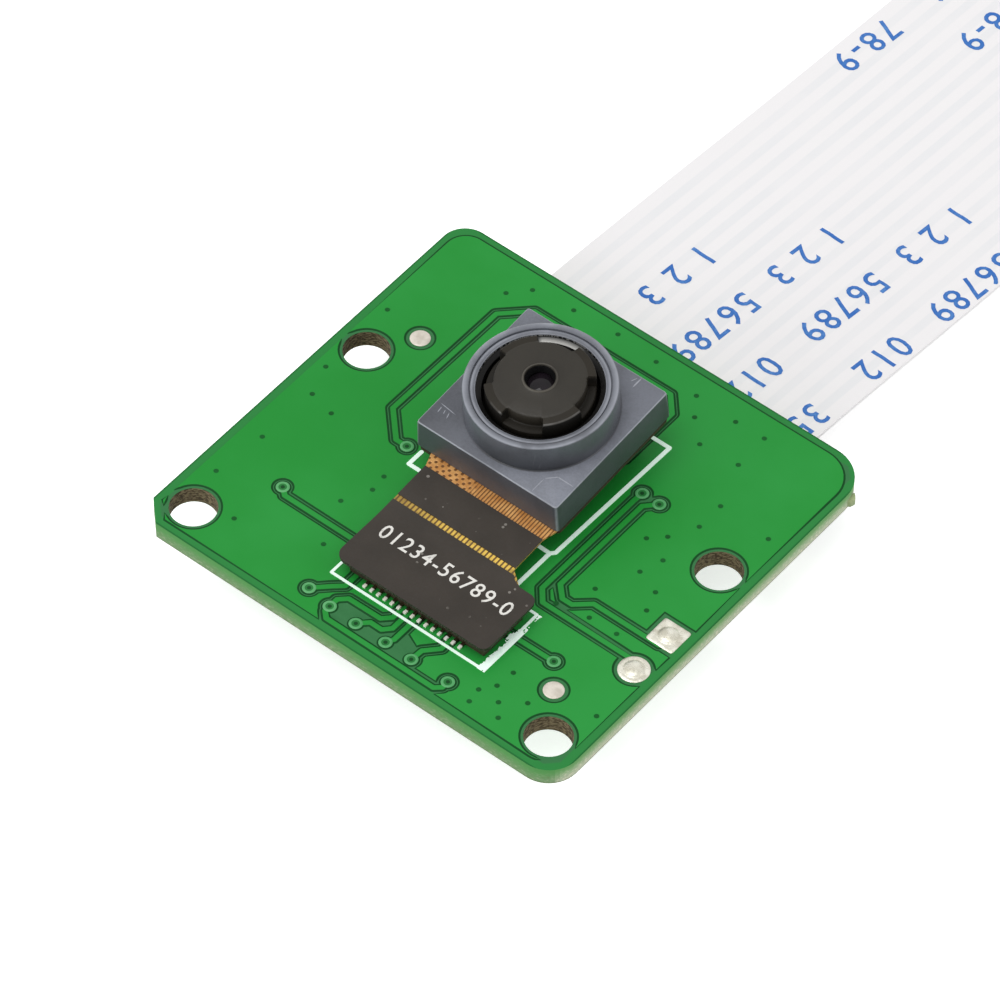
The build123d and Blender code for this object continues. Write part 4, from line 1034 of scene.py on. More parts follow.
@dataclass
class Numerals:
    """Plain numbers printed on a surface."""

    name: str
    body: str
    height_mm: float
    spacing: float = 1.1
    weight_mm: float = 0.0
    lift_mm: float = 0.006
    width: float = 1.0
    limit_mm: float = 0.0
    strip_mm: float = 0.125
    drift: Callable[[float], float] | None = None
    made: list[bpy.types.Object] = field(default_factory=list)

    def flat_mesh(self, text: str) -> bmesh.types.BMesh:
        """Gives the text's flat faces, one millimetre high letters about the origin.

        Args:
            text: the digits to draw.

        Returns:
            A mesh of flat faces, centred, in millimetres.
        """
        curve = bpy.data.curves.new(self.name + "_type", "FONT")
        curve.body = text
        curve.size = self.height_mm * 1.38
        curve.space_character = self.spacing
        curve.offset = self.weight_mm
        curve.resolution_u = 3
        curve.fill_mode = "FRONT"
        carrier = bpy.data.objects.new(self.name + "_type", curve)
        flat = bpy.data.meshes.new_from_object(carrier)
        work = bmesh.new()
        work.from_mesh(flat)
        bpy.data.objects.remove(carrier)
        bpy.data.curves.remove(curve)
        bpy.data.meshes.remove(flat)
        xs = [vert.co.x for vert in work.verts]
        middle = Vector(((min(xs) + max(xs)) / 2, self.height_mm / 2, 0))
        bmesh.ops.translate(work, vec=-middle, verts=work.verts)
        bmesh.ops.scale(work, vec=(self.width, 1.0, 1.0), verts=work.verts)
        return work

    def trim(self, work: bmesh.types.BMesh) -> None:
        """Cuts the print off cleanly at the ribbon's sides, and into strips that can follow its ridges."""
        for side in (-1.0, 1.0):
            bmesh.ops.bisect_plane(work, geom=list(work.verts) + list(work.edges) + list(work.faces),
                                   plane_co=(side * self.limit_mm, 0, 0), plane_no=(side, 0, 0), clear_outer=True)
        if not work.verts:
            return
        left = min(vert.co.x for vert in work.verts)
        right = max(vert.co.x for vert in work.verts)
        level = math.ceil(left / self.strip_mm) * self.strip_mm
        while level < right:
            bmesh.ops.bisect_plane(work, geom=list(work.verts) + list(work.edges) + list(work.faces),
                                   plane_co=(level, 0, 0), plane_no=(1, 0, 0))
            level += self.strip_mm

    def lay(self, lines: Sequence[tuple[str, float, float, float]], surface: Callable[[float, float], float],
            material: bpy.types.Material) -> bpy.types.Object:
        """Lays lines of digits on a surface as one piece.

        Args:
            lines: text, X, Y and turn in degrees of each line.
            surface: height of the surface at X and Y.
            material: the ink.

        Returns:
            The printed piece.
        """
        piece = Workpiece(self.name)
        for text, x, y, turn in lines:
            work = self.flat_mesh(text)
            place = Matrix.Translation((x, y, 0)) @ Matrix.Rotation(math.radians(turn), 4, "Z")
            bmesh.ops.transform(work, matrix=place, verts=work.verts)
            if self.limit_mm:
                self.trim(work)
            for vert in work.verts:
                vert.co.z = surface(vert.co.x, vert.co.y) + self.lift_mm
                if self.drift:
                    vert.co.x += self.drift(vert.co.y)
            holder = bpy.data.meshes.new(self.name)
            work.to_mesh(holder)
            work.free()
            piece.mesh.from_mesh(holder)
            bpy.data.meshes.remove(holder)
        for face in piece.mesh.faces:
            if face.normal.z < 0:
                face.normal_flip()
        made = piece.finish(self.body, [material], 60.0)
        self.made.append(made)
        return made


@dataclass
class BoardTop:
    """The board, its print, pads and small vias."""

    nodes: dict[str, bpy.types.Object]
    finishes: FinishRack
    top: float = Layer.BOARD_TOP.value
    via_radius: float = 0.13
    fiducials: tuple[Point2, ...] = ((-9.03, 4.72), (9.02, -7.75))
    pad_x: float = 11.08
    square_pad_y: float = -1.97
    round_pad_y: float = -4.51
    pad_width: float = 1.52
    slope_width: float = 0.112
    vias: tuple[Point2, ...] = (
        (-5.25, -0.85), (-8.1, -6.42), (8.0, -6.47), (4.93, 3.9), (5.95, 3.88), (-3.3, -10.25), (-1.88, -10.48),
        (-0.32, -10.5), (1.42, -10.48), (2.95, -10.5), (5.05, -10.45),
    )
    stitches: tuple[Point2, ...] = (
        (-6.85, 10.45), (-7.7, 9.5), (-4.55, 10.7), (-2.0, 10.85), (0.45, 10.65), (3.2, 10.2), (5.6, 10.1),
        (7.25, 10.15), (3.95, 9.1), (5.15, 7.95), (7.3, 8.1), (8.2, 5.6), (11.1, 5.45), (8.2, 4.0), (7.45, 2.6),
        (6.75, 1.9), (8.15, 1.35), (7.75, 0.15), (9.05, -0.35), (9.4, -1.45), (6.8, -1.95), (5.95, -3.75),
        (7.65, -3.45), (9.2, -3.4), (7.0, -8.15), (11.45, -7.7), (6.5, -10.7), (8.1, -10.6), (-11.35, 5.1),
        (-11.3, 0.5), (-10.7, -1.2), (-9.25, -1.55), (-4.9, -2.95), (-4.8, -3.9), (-10.8, -4.7), (-5.5, -5.35),
        (-4.45, -7.85), (-11.1, -7.65), (-8.6, -9.3), (6.9, -9.2), (7.55, -9.9), (6.4, -9.9), (8.6, -9.1),
    )

    def build(self) -> None:
        """Dresses the board and adds what lies on it."""
        finishes = self.finishes
        dress(self.nodes, "circuit_board", finishes.mask)
        dress(self.nodes, "board_print", finishes.print)
        dress(self.nodes, "header_solder", finishes.solder)
        self.add_stitches()
        self.add_fiducials()
        self.add_header_pads()
        self.add_smeared_print()
        self.add_snap_nub()
        self.add_mask_skin()
        self.add_via_collars()

    def add_stitches(self) -> bpy.types.Object:
        """Adds the small covered vias: a dark dimple with a soft rim."""
        work = Workpiece("stitch_vias")
        for x, y in self.stitches:
            made = bmesh.ops.create_circle(work.mesh, cap_ends=True, segments=16, radius=self.via_radius)
            verts = made["verts"]
            face = next(iter({f for v in verts for f in v.link_faces}))
            if face.normal.z < 0:
                face.normal_flip()
            first = bmesh.ops.inset_region(work.mesh, faces=[face], thickness=0.03, depth=0.005)
            second = bmesh.ops.inset_region(work.mesh, faces=[face], thickness=0.03, depth=-0.004)
            for ring in second["faces"]:
                ring.material_index = 1
            face.material_index = 1
            group = {v for f in first["faces"] + second["faces"] for v in f.verts} | set(face.verts)
            bmesh.ops.translate(work.mesh, vec=(x, y, self.top + 0.002), verts=list(group))
        rim = MouldedFinish("via_rim", srgb(16, 118, 40), srgb(28, 134, 52), 0.5, 4000.0, shine=0.3).make()
        pit = MouldedFinish("via_pit", srgb(4, 78, 24), srgb(12, 94, 36), 0.5, 4000.0, shine=0.2).make()
        return work.finish("module", [rim, pit])

    def add_fiducials(self) -> bpy.types.Object:
        """Adds the two tinned marks as low domes in place of the plain discs."""
        work = Workpiece("fiducial_domes")
        base = Layer.LAMINATE_TOP.value
        profile = ((0.5, 0.0), (0.5, 0.02), (0.48, 0.034), (0.42, 0.042), (0.2, 0.044), (0.06, 0.044))
        for x, y in self.fiducials:
            single = Workpiece("dome")
            single.loft(40, [round_ring(r, base + h) for r, h in profile], capped=(True, True))
            single.transform(Matrix.Translation((x, y, 0)))
            join_into(work, single)
        piece = work.finish("module", [self.finishes.pad], 50.0)
        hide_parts("fiducial_marks")
        return piece

    def add_header_pads(self) -> bpy.types.Object:
        """Adds the square and round pads, each with a wet solder dome over its hole."""
        work = Workpiece("header_pads_wet")
        low = Layer.LAMINATE_TOP.value
        half = self.pad_width / 2
        dome = ((0.5, 0.075), (0.47, 0.11), (0.4, 0.15), (0.28, 0.185), (0.14, 0.2), (0.04, 0.204))
        shapes = (
            (self.square_pad_y, lambda size, height: square_ring(size, 0.12, height)),
            (self.round_pad_y, round_ring),
        )
        for y, ring in shapes:
            for side in Side:
                single = Workpiece("pad")
                rings = [ring(half, 0.0), ring(half, 0.035), ring(half - 0.05, 0.06), ring(half - 0.14, 0.07),
                         round_ring(0.56, 0.062), round_ring(0.53, 0.058)]
                rings += [round_ring(r, h) for r, h in dome]
                single.loft(72, rings, capped=(True, True))
                if side is Side.UNDER:
                    single.transform(Matrix.Scale(-1, 4, Vector((0, 0, 1))))
                    bmesh.ops.recalc_face_normals(single.mesh, faces=single.mesh.faces)
                    lift = Layer.BOARD_BOTTOM.value
                else:
                    lift = low
                single.transform(Matrix.Translation((self.pad_x, y, lift)))
                join_into(work, single)
        piece = work.finish("module", [self.finishes.solder], 40.0)
        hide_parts("header_pads", "header_solder")
        return piece

    def add_smeared_print(self) -> bpy.types.Object:
        """Adds the patchy ink beside the connector, where the print was smeared."""
        work = Workpiece("smeared_print")
        left, right, front, back = 5.42, 5.98, -9.0, -4.8
        bmesh.ops.create_grid(work.mesh, x_segments=22, y_segments=150, size=0.5)
        bmesh.ops.scale(work.mesh, vec=(right - left, back - front, 1), verts=work.mesh.verts)
        bmesh.ops.translate(work.mesh, vec=((left + right) / 2, (front + back) / 2, self.top + 0.012),
                            verts=work.mesh.verts)
        bare = []
        for face in work.mesh.faces:
            middle = face.calc_center_median()
            speck = noise.noise(Vector((middle.x * 4.5, middle.y * 1.6, 3.1)))
            fine = noise.noise(Vector((middle.x * 14, middle.y * 9, 8.2)))
            fade = smooth_step(left, left + 0.3, middle.x) * (1 - 0.75 * smooth_step(-6.6, -5.4, middle.y))
            if speck * 0.7 + fine * 0.45 + fade * 0.9 < 0.5:
                bare.append(face)
        bmesh.ops.delete(work.mesh, geom=bare, context="FACES")
        grown = bmesh.ops.extrude_face_region(work.mesh, geom=list(work.mesh.faces))["geom"]
        bmesh.ops.translate(work.mesh, vec=(0, 0, 0.012),
                            verts=[item for item in grown if isinstance(item, bmesh.types.BMVert)])
        bmesh.ops.recalc_face_normals(work.mesh, faces=work.mesh.faces)
        return work.finish("module", [self.finishes.print], 60.0)

    def add_snap_nub(self) -> bpy.types.Object:
        """Adds the stub of laminate left where the board was snapped from its panel."""
        work = Workpiece("snap_nub")
        outline = ((12.2, 9.9), (12.42, 10.05), (12.5, 10.3), (12.34, 10.5), (12.2, 10.62))
        work.plate(outline, 2.64, 3.1)
        stub = MouldedFinish("laminate_stub", srgb(126, 150, 104), srgb(176, 186, 140), 0.7, 2500.0, 0.01).make()
        return work.finish("module", [stub], 30.0, 0.05, 2)

    def add_mask_skin(self) -> bpy.types.Object:
        """Adds the coat where it sinks from copper to laminate, with a soft slope at each step that the mask material
        paints with a dark painted shade.
        """
        work = Workpiece("mask_skin")
        work.mesh.from_mesh(self.nodes["circuit_board"].data)
        bmesh.ops.scale(work.mesh, vec=(1000, 1000, 1000), verts=work.mesh.verts)
        bmesh.ops.remove_doubles(work.mesh, verts=work.mesh.verts, dist=0.0005)
        low = Layer.LAMINATE_TOP.value
        steps = {vert for vert in work.mesh.verts if abs(vert.co.z - low) < 0.002
                 and any(edge.other_vert(vert).co.z > self.top - 0.002 for edge in vert.link_edges)}
        unwanted = [face for face in work.mesh.faces
                    if face.normal.z < 0.9 or abs(face.calc_center_median().z - low) > 0.002]
        bmesh.ops.delete(work.mesh, geom=unwanted, context="FACES")
        outer = {vert for edge in work.mesh.edges if edge.is_boundary for vert in edge.verts}
        bmesh.ops.inset_region(work.mesh, faces=list(work.mesh.faces), thickness=self.slope_width,
                               use_boundary=True, use_even_offset=False)
        for vert in work.mesh.verts:
            vert.co.z = self.top - 0.001 if vert in outer and vert in steps else low + 0.002
        for face in work.mesh.faces:
            if face.normal.z < 0:
                face.normal_flip()
        return work.finish("module", [self.finishes.mask], 60.0)

    def add_via_collars(self) -> bpy.types.Object:
        """Adds the pale plated ring that shows through the coat at each via."""
        work = Workpiece("via_collars")
        for x, y in self.vias:
            single = Workpiece("collar")
            profile = ((0.05, 0.002), (0.1, 0.003), (0.17, 0.004), (0.2, 0.012), (0.24, 0.024), (0.28, 0.02),
                       (0.32, 0.004), (0.33, 0.0))
            rings = [round_ring(r, self.top + h) for r, h in profile]
            single.loft(28, rings, capped=(True, False), slots={2: 1, 4: 2})
            single.transform(Matrix.Translation((x, y, 0)))
            join_into(work, single)
        pale = MouldedFinish("via_collar", srgb(70, 152, 88), srgb(98, 174, 112), 0.5, 4000.0, shine=0.35).make()
        dish = MouldedFinish("via_dish", srgb(24, 108, 44), srgb(38, 124, 56), 0.5, 4000.0, shine=0.3).make()
        well = MouldedFinish("via_well", srgb(4, 60, 20), srgb(10, 76, 30), 0.5, 4000.0, shine=0.2).make()
        return work.finish("module", [well, dish, pale], 60.0)


def join_into(target: Workpiece, source: Workpiece) -> None:
    """Moves one workpiece's mesh into another's."""
    carrier = bpy.data.meshes.new("carrier")
    source.mesh.to_mesh(carrier)
    source.mesh.free()
    target.mesh.from_mesh(carrier)
    bpy.data.meshes.remove(carrier)


@dataclass
class LensUnit:
    """Lens holder, barrel and glass, on an axis that leans forward."""

    nodes: dict[str, bpy.types.Object]
    finishes: FinishRack
    lean: float = 5.5
    origin: Point3 = (-0.1, 2.82, 5.36)
    half: float = 4.2
    draft: float = 0.08
    corner: float = 0.2
    height: float = 1.75
    rim: float = 3.4
    tab_angles: tuple[float, ...] = (-27.0, 63.0, 153.0, 243.0)
    tab_half_width: float = 22.0
    lens_ball: float = 2.1

    def frame(self) -> Matrix:
        """Places the unit's own axes in the part's frame."""
        return Matrix.Translation(self.origin) @ Matrix.Rotation(math.radians(self.lean), 4, "X")

    def build(self) -> None:
        """Builds the visible pieces and dresses the hidden ones."""
        finishes = self.finishes
        self.add_holder()
        self.add_rub_marks()
        self.add_barrel()
        self.add_front_lens()
        dress(self.nodes, "holder_stiffener", finishes.stiffener)
        dress(self.nodes, "foam_pad", finishes.foam)
        dress(self.nodes, "image_sensor", finishes.silicon)
        dress(self.nodes, "pixel_array", finishes.pixels)
        dress(self.nodes, "infrared_filter", finishes.filter)
        dress(self.nodes, "middle_lens", finishes.glass)
        dress(self.nodes, "rear_lens", finishes.glass)
        dress(self.nodes, "lens_spacers", finishes.spacer)
        dress(self.nodes, "lens_retainer", finishes.barrel)

    def add_holder(self) -> bpy.types.Object:
        """Builds the square box with its tapered collar as one closed moulding."""
        half, corner, top, rim = self.half, self.corner, self.height, self.rim
        upper = half - self.draft
        rings = [
            square_ring(half - 0.03, corner, 0.0), square_ring(half, corner, 0.03),
            square_ring(upper, corner - 0.08, top - 0.07), square_ring(upper - 0.008, corner - 0.085, top - 0.035),
            square_ring(upper - 0.03, corner - 0.095, top - 0.01), square_ring(upper - 0.065, corner - 0.12, top),
            round_ring(3.72, top), round_ring(3.67, top + 0.012), round_ring(3.64, top + 0.05),
            round_ring(3.63, rim - 0.09), round_ring(3.62, rim - 0.035), round_ring(3.57, rim),
            round_ring(3.325, rim), round_ring(3.305, rim - 0.015), round_ring(3.295, rim - 0.12),
            round_ring(3.265, rim - 0.12), round_ring(3.25, rim - 0.075), round_ring(3.21, rim - 0.065),
            round_ring(3.07, rim - 0.07), round_ring(3.02, rim - 0.09), round_ring(3.0, rim - 0.13),
            round_ring(2.995, rim - 0.24), round_ring(2.76, rim - 0.34),
        ]
        # Rings 3, 4, 11, 17 and 19 get painted highlights along their edges.
        worn_and_lit = [3, 4, 11, 17, 19]
        slots = {21: 2, 27: 1}
        thread_top = rim - 0.36
        for turn in range(5):
            rings.append(round_ring(2.75, thread_top - 0.25 * turn))
            rings.append(round_ring(2.80, thread_top - 0.125 - 0.25 * turn))
        rings += [
            round_ring(2.75, 1.2), round_ring(2.73, 1.15), square_ring(2.2, 0.4, 1.15),
            square_ring(2.2, 0.4, 0.95), square_ring(3.4, 0.2, 0.95), square_ring(3.4, 0.2, 0.0),
        ]
        work = Workpiece("lens_holder_moulding")
        work.loft(360, rings, closed=True, slots=slots, worn_and_lit=worn_and_lit)
        wear = work.mesh.verts.layers.float["wear"]
        # The rubbed attribute carries painted sheen, painted shade and a painted glint, from painted_light_at.
        rubbed = work.mesh.verts.layers.float.new("rubbed")
        for vert in work.mesh.verts:
            vert[rubbed] = self.painted_light_at(vert.co)
            # The vertical corners get a painted highlight too.
            if min(abs(vert.co.x), abs(vert.co.y)) > upper - 0.06 and 0.02 < vert.co.z < top - 0.05:
                vert[wear] = 0.7
        work.transform(self.frame())
        piece = work.finish("module", [self.finishes.holder, self.finishes.bore_shaded, self.finishes.thread_shade], 28.0)
        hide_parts("lens_holder")
        return piece

    def painted_light_at(self, place: Vector) -> float:
        """How much painted light the holder gets at a point.

        Args:
            place: the point, on the holder's own axes.

        Returns:
            0 for the plain plastic colour, 1 for the brightest painted light.
        """
        across, along = (place.x + self.half) / (2 * self.half), (place.y + self.half) / (2 * self.half)
        reach = place.xy.length
        turn = math.degrees(math.atan2(place.y, place.x))
        # A painted glint: an arc on the bore's ledge at about 109 degrees.
        if reach < 3.0:
            on_bore = smooth_step(self.rim - 0.51, self.rim - 0.37, place.z)
            on_ledge = 1.0 - smooth_step(2.8, 2.99, reach)
            return on_bore * on_ledge * (1.0 - smooth_step(18.0, 24.0, abs(turn - 109.0)))
        # Painted sheen on the rim, brightest towards 128 degrees.
        if place.z > self.rim - 0.14:
            return 0.5 - 0.14 * math.cos(math.radians(turn + 52.0))
        # Painted sheen on the top, brightest at the right front corner and darkest at the left front corner.
        if place.z > self.height - 0.02 and reach > 3.7:
            front = (0.16 * (1 - across) + 1.05 * across) * (1 - along)
            return front + (0.77 * (1 - across) + 0.62 * across) * along
        # The collar's wall keeps a painted shade towards -62 degrees, its front, and gets a little painted sheen
        # elsewhere.
        if place.z > self.height and reach > 3.6:
            return 0.28 * smooth_step(22.0, 60.0, abs(turn + 62.0))
        # Elsewhere a faint even lift.
        return 0.16

    def add_rub_marks(self) -> bpy.types.Object:
        """Adds the faint pale marks near the holder's corners."""
        work = Workpiece("holder_rub_marks")
        lines = (
            ((2.61, -4.02), (2.63, -3.1), 0.05), ((2.63, -3.1), (3.19, -2.58), 0.05),
            ((3.0, -2.67), (4.05, -2.68), 0.055), ((2.64, 3.39), (2.65, 4.05), 0.07),
            ((-3.88, -2.63), (-2.86, -2.76), 0.04), ((-3.7, -2.78), (-3.66, -3.14), 0.04),
            ((-3.45, -2.82), (-3.38, -3.06), 0.035), ((-3.2, -2.84), (-3.1, -3.17), 0.04),
            ((2.35, 3.62), (2.5, 3.95), 0.04),
        )
        for (ax, ay), (bx, by), width in lines:
            start, end = Vector((ax, ay, self.height + 0.003)), Vector((bx, by, self.height + 0.003))
            side = Vector((-(end - start).y, (end - start).x, 0)).normalized() * width / 2
            inner, outer = start.lerp(end, 0.2), start.lerp(end, 0.75)
            corners = (start, inner - side, outer - side, end, outer + side, inner + side)
            work.mesh.faces.new([work.mesh.verts.new(corner) for corner in corners])
        work.transform(self.frame())
        return work.finish("module", [self.finishes.rub_mark])

    def on_tab(self, angle: float) -> float:
        """How far an angle lies on a tab: 1 on it, 0 in a notch, quickly between."""
        degrees = math.degrees(angle)
        share = 0.0
        for middle in self.tab_angles:
            away = abs((degrees - middle + 180.0) % 360.0 - 180.0)
            share = max(share, 1.0 - smooth_step(self.tab_half_width - 0.5, self.tab_half_width + 1.0, away))
        return share

    def tab_ring(self, tab: Point2, notch: Point2) -> Callable[[float], Point2]:
        """A ring that differs on the tabs and in the notches.

        Args:
            tab: radius and height on a tab.
            notch: radius and height in a notch.

        Returns:
            The ring's radius and height at an angle.
        """

        def at(angle: float) -> Point2:
            """Blend of the two at one angle."""
            share = self.on_tab(angle)
            return (notch[0] + (tab[0] - notch[0]) * share, notch[1] + (tab[1] - notch[1]) * share)

        return at

    def add_barrel(self) -> bpy.types.Object:
        """Builds the threaded barrel with its four tabs and its conical mouth."""
        rings = [round_ring(2.1, 1.4), round_ring(2.6, 1.4), round_ring(2.66, 1.46)]
        for turn in range(4):
            rings.append(round_ring(2.66, 1.5 + 0.25 * turn))
            rings.append(round_ring(2.70, 1.6 + 0.25 * turn))
        rings += [
            round_ring(2.69, 2.46), round_ring(2.62, 2.55), round_ring(2.6, 2.57),
            self.tab_ring((2.6, 2.62), (2.585, 2.6)),
            self.tab_ring((2.6, 3.74), (2.56, 3.14)), self.tab_ring((2.585, 3.8), (2.52, 3.19)),
            self.tab_ring((2.54, 3.835), (2.4, 3.2)), self.tab_ring((2.515, 3.84), (2.36, 3.2)),
            self.tab_ring((2.38, 3.86), (2.2, 3.2)),
            self.tab_ring((2.26, 3.875), (2.16, 3.24)),
            self.tab_ring((2.2, 3.88), (2.15, 3.83)), self.tab_ring((2.14, 3.9), (2.12, 3.885)),
            round_ring(2.05, 3.91), round_ring(1.3, 3.945), round_ring(0.92, 3.965), round_ring(0.86, 3.98),
            round_ring(0.83, 4.02), round_ring(0.79, 4.045), round_ring(0.745, 4.04), round_ring(0.715, 3.99),
            round_ring(0.7, 3.86), round_ring(0.62, 3.68), round_ring(0.62, 3.6),
            round_ring(1.15, 3.6), round_ring(1.15, 3.0), round_ring(1.6, 3.0), round_ring(1.6, 2.25),
            round_ring(2.1, 2.25),
        ]
        lip = len(rings) - 11
        # The tabs' outer edges and the aperture lip get painted highlights.
        worn_and_lit = [16, 17, lip - 1, lip]
        work = Workpiece("lens_barrel_turned")
        work.loft(360, rings, closed=True, slots={1: 2, 22: 0, len(rings) - 8: 1}, worn_and_lit=worn_and_lit)
        wear = work.mesh.verts.layers.float["wear"]
        rubbed = work.mesh.verts.layers.float.new("rubbed")
        for vert in work.mesh.verts:
            turn = math.degrees(math.atan2(vert.co.y, vert.co.x))
            # Painted light lifts the lit tab tops fully, and the notch floors partly, out of the barrel_shaded
            # painted shade.
            if vert.co.z > 3.79:
                vert[rubbed] = 1.0
            elif 3.0 < vert.co.z < 3.3:
                vert[rubbed] = 0.45
            # On the tabs the painted highlights stay only in short arcs, at about -28, -97 and -106 degrees.
            if vert.co.xy.length > 2.3:
                bare = max(1.0 - smooth_step(20.0, 26.0, abs(turn + 28.0)), 1.0 - smooth_step(1.5, 3.0, abs(turn + 97.0)),
                           0.3 * (1.0 - smooth_step(6.0, 10.0, abs(turn + 106.0))))
                vert[wear] *= bare if vert.co.z > 3.7 else 0.0
        work.transform(self.frame())
        piece = work.finish("barrel", [self.finishes.barrel, self.finishes.bore_shaded, self.finishes.barrel_shaded], 30.0)
        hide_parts("lens_barrel")
        return piece

    def add_front_lens(self) -> bpy.types.Object:
        """Builds the front lens as a polished dome."""
        rings = [round_ring(0.05, 3.12), round_ring(0.6, 3.13), round_ring(1.13, 3.15), round_ring(1.13, 3.44),
                 round_ring(1.1, 3.46)]
        for step in range(12, 0, -1):
            across = 0.96 * step / 12
            rings.append(round_ring(across, 3.64 - self.lens_ball + math.sqrt(self.lens_ball**2 - across**2)))
        work = Workpiece("front_lens_dome")
        work.loft(64, rings, capped=(True, True))
        work.transform(self.frame())
        piece = work.finish("lens_elements", [self.finishes.glass], 45.0)
        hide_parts("front_lens")
        return piece


@dataclass
class FlexAssembly:
    """Flex, its cover films and print, and the low connector under its head."""

    nodes: dict[str, bpy.types.Object]
    finishes: FinishRack
    lean: float = 5.5
    head_top: float = 4.6
    holder_front: Point2 = (-1.361, 4.958)
    bend_y: float = -5.45
    film: float = 0.04
    core: float = 0.1

    def height(self, x: float, y: float) -> float:
        """Height of the cover film's top face at a point on the flex."""
        slope = math.tan(math.radians(self.lean))
        rise = (y - self.bend_y) * slope
        soft = 0.45
        if rise > soft * slope:
            lift = rise
        elif rise > -soft * slope:
            lift = (y - self.bend_y + soft) ** 2 * slope / (4 * soft)
        else:
            lift = 0.0
        wave = 0.012 * math.sin(x * 0.9 + 0.6) * smooth_step(-4.0, -8.5, y)
        return self.head_top + lift + wave

    def sheet(self, name: str, outline: Sequence[Point2], rounded: dict[int, float], drop: float,
              thickness: float, material: bpy.types.Material) -> bpy.types.Object:
        """Builds a film that follows the flex.

        Args:
            name: the piece's name.
            outline: its corners in X and Y.
            rounded: radius of each rounded corner, by its place in the outline.
            drop: how far its top face lies below the covers' top.
            thickness: its thickness.
            material: its finish.

        Returns:
            The film.
        """
        work = Workpiece(name)
        verts = [work.mesh.verts.new((x, y, 0)) for x, y in outline]
        work.mesh.faces.new(verts)
        for index, radius in rounded.items():
            bmesh.ops.bevel(work.mesh, geom=[verts[index]], offset=radius, segments=8, profile=0.5,
                            affect="VERTICES", material=-1)
        bmesh.ops.triangulate(work.mesh, faces=work.mesh.faces)
        low = min(y for _, y in outline)
        high = max(y for _, y in outline)
        cuts = max(2, int((high - low) / 0.25))
        for step in range(1, cuts):
            level = low + (high - low) * step / cuts
            geometry = list(work.mesh.verts) + list(work.mesh.edges) + list(work.mesh.faces)
            bmesh.ops.bisect_plane(work.mesh, geom=geometry, plane_co=(0, level, 0), plane_no=(0, 1, 0))
        for vert in work.mesh.verts:
            vert.co.z = self.height(vert.co.x, vert.co.y) - drop
        for face in work.mesh.faces:
            if face.normal.z < 0:
                face.normal_flip()
        bmesh.ops.recalc_face_normals(work.mesh, faces=work.mesh.faces)
        grown = bmesh.ops.extrude_face_region(work.mesh, geom=list(work.mesh.faces))["geom"]
        bmesh.ops.translate(work.mesh, vec=(0, 0, -thickness),
                            verts=[item for item in grown if isinstance(item, bmesh.types.BMVert)])
        bmesh.ops.recalc_face_normals(work.mesh, faces=work.mesh.faces)
        return work.finish("module", [material], 30.0)

    def build(self) -> None:
        """Builds the films, the print and the connector's looks."""
        finishes = self.finishes
        front = self.holder_front[0]
        core = self.sheet(
            "amber_flex_core",
            [(-3.4, front + 0.6), (-3.4, front), (-3.15, front - 0.7), (-3.15, -8.64), (5.72, -8.64), (5.72, -4.78),
             (4.63, -4.78), (3.78, -4.14), (3.78, front - 0.7), (3.98, front), (3.98, front + 0.6)],
            {3: 0.6, 4: 0.4, 5: 0.45}, self.film, self.core, finishes.amber)
        neck = self.sheet(
            "neck_cover_film",
            [(-3.16, front - 0.71), (-3.16, -4.06), (3.79, -4.06), (3.79, front - 0.71)],
            {}, 0.0, self.film, finishes.cover)
        head = self.sheet(
            "head_cover_film",
            [(-3.16, -4.4), (-3.16, -8.65), (5.73, -8.65), (5.73, -4.77), (4.63, -4.77), (4.2, -4.6), (3.98, -4.4)],
            {1: 0.6, 2: 0.4, 3: 0.45}, 0.0, self.film, finishes.cover)
        under = self.sheet(
            "under_cover_film",
            [(-3.15, front - 0.2), (-3.15, -8.64), (5.72, -8.64), (5.72, -4.78), (4.63, -4.78), (3.78, -4.14),
             (3.78, front - 0.2)],
            {1: 0.6, 2: 0.4, 3: 0.45}, self.film + self.core, self.film, finishes.cover)
        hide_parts("sensor_flex")
        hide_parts("flex_covers")
        LOG.info("flex films: %s", ", ".join(piece.name for piece in (core, neck, head, under)))
        self.add_print()
        dress(self.nodes, "flex_receptacle", finishes.connector)
        dress(self.nodes, "flex_plug", finishes.connector)
        dress(self.nodes, "receptacle_contacts", finishes.contact)
        dress(self.nodes, "plug_contacts", finishes.contact)

    def add_print(self) -> None:
        """Prints a row of plain numbers across the head."""
        numerals = Numerals("flex_numbers", "module", 0.87, 1.14, 0.008, width=0.91)
        lines = [("01234-56789-0", 1.37, -6.06, 0.0)]
        numerals.lay(lines, self.height, self.finishes.text_ink)


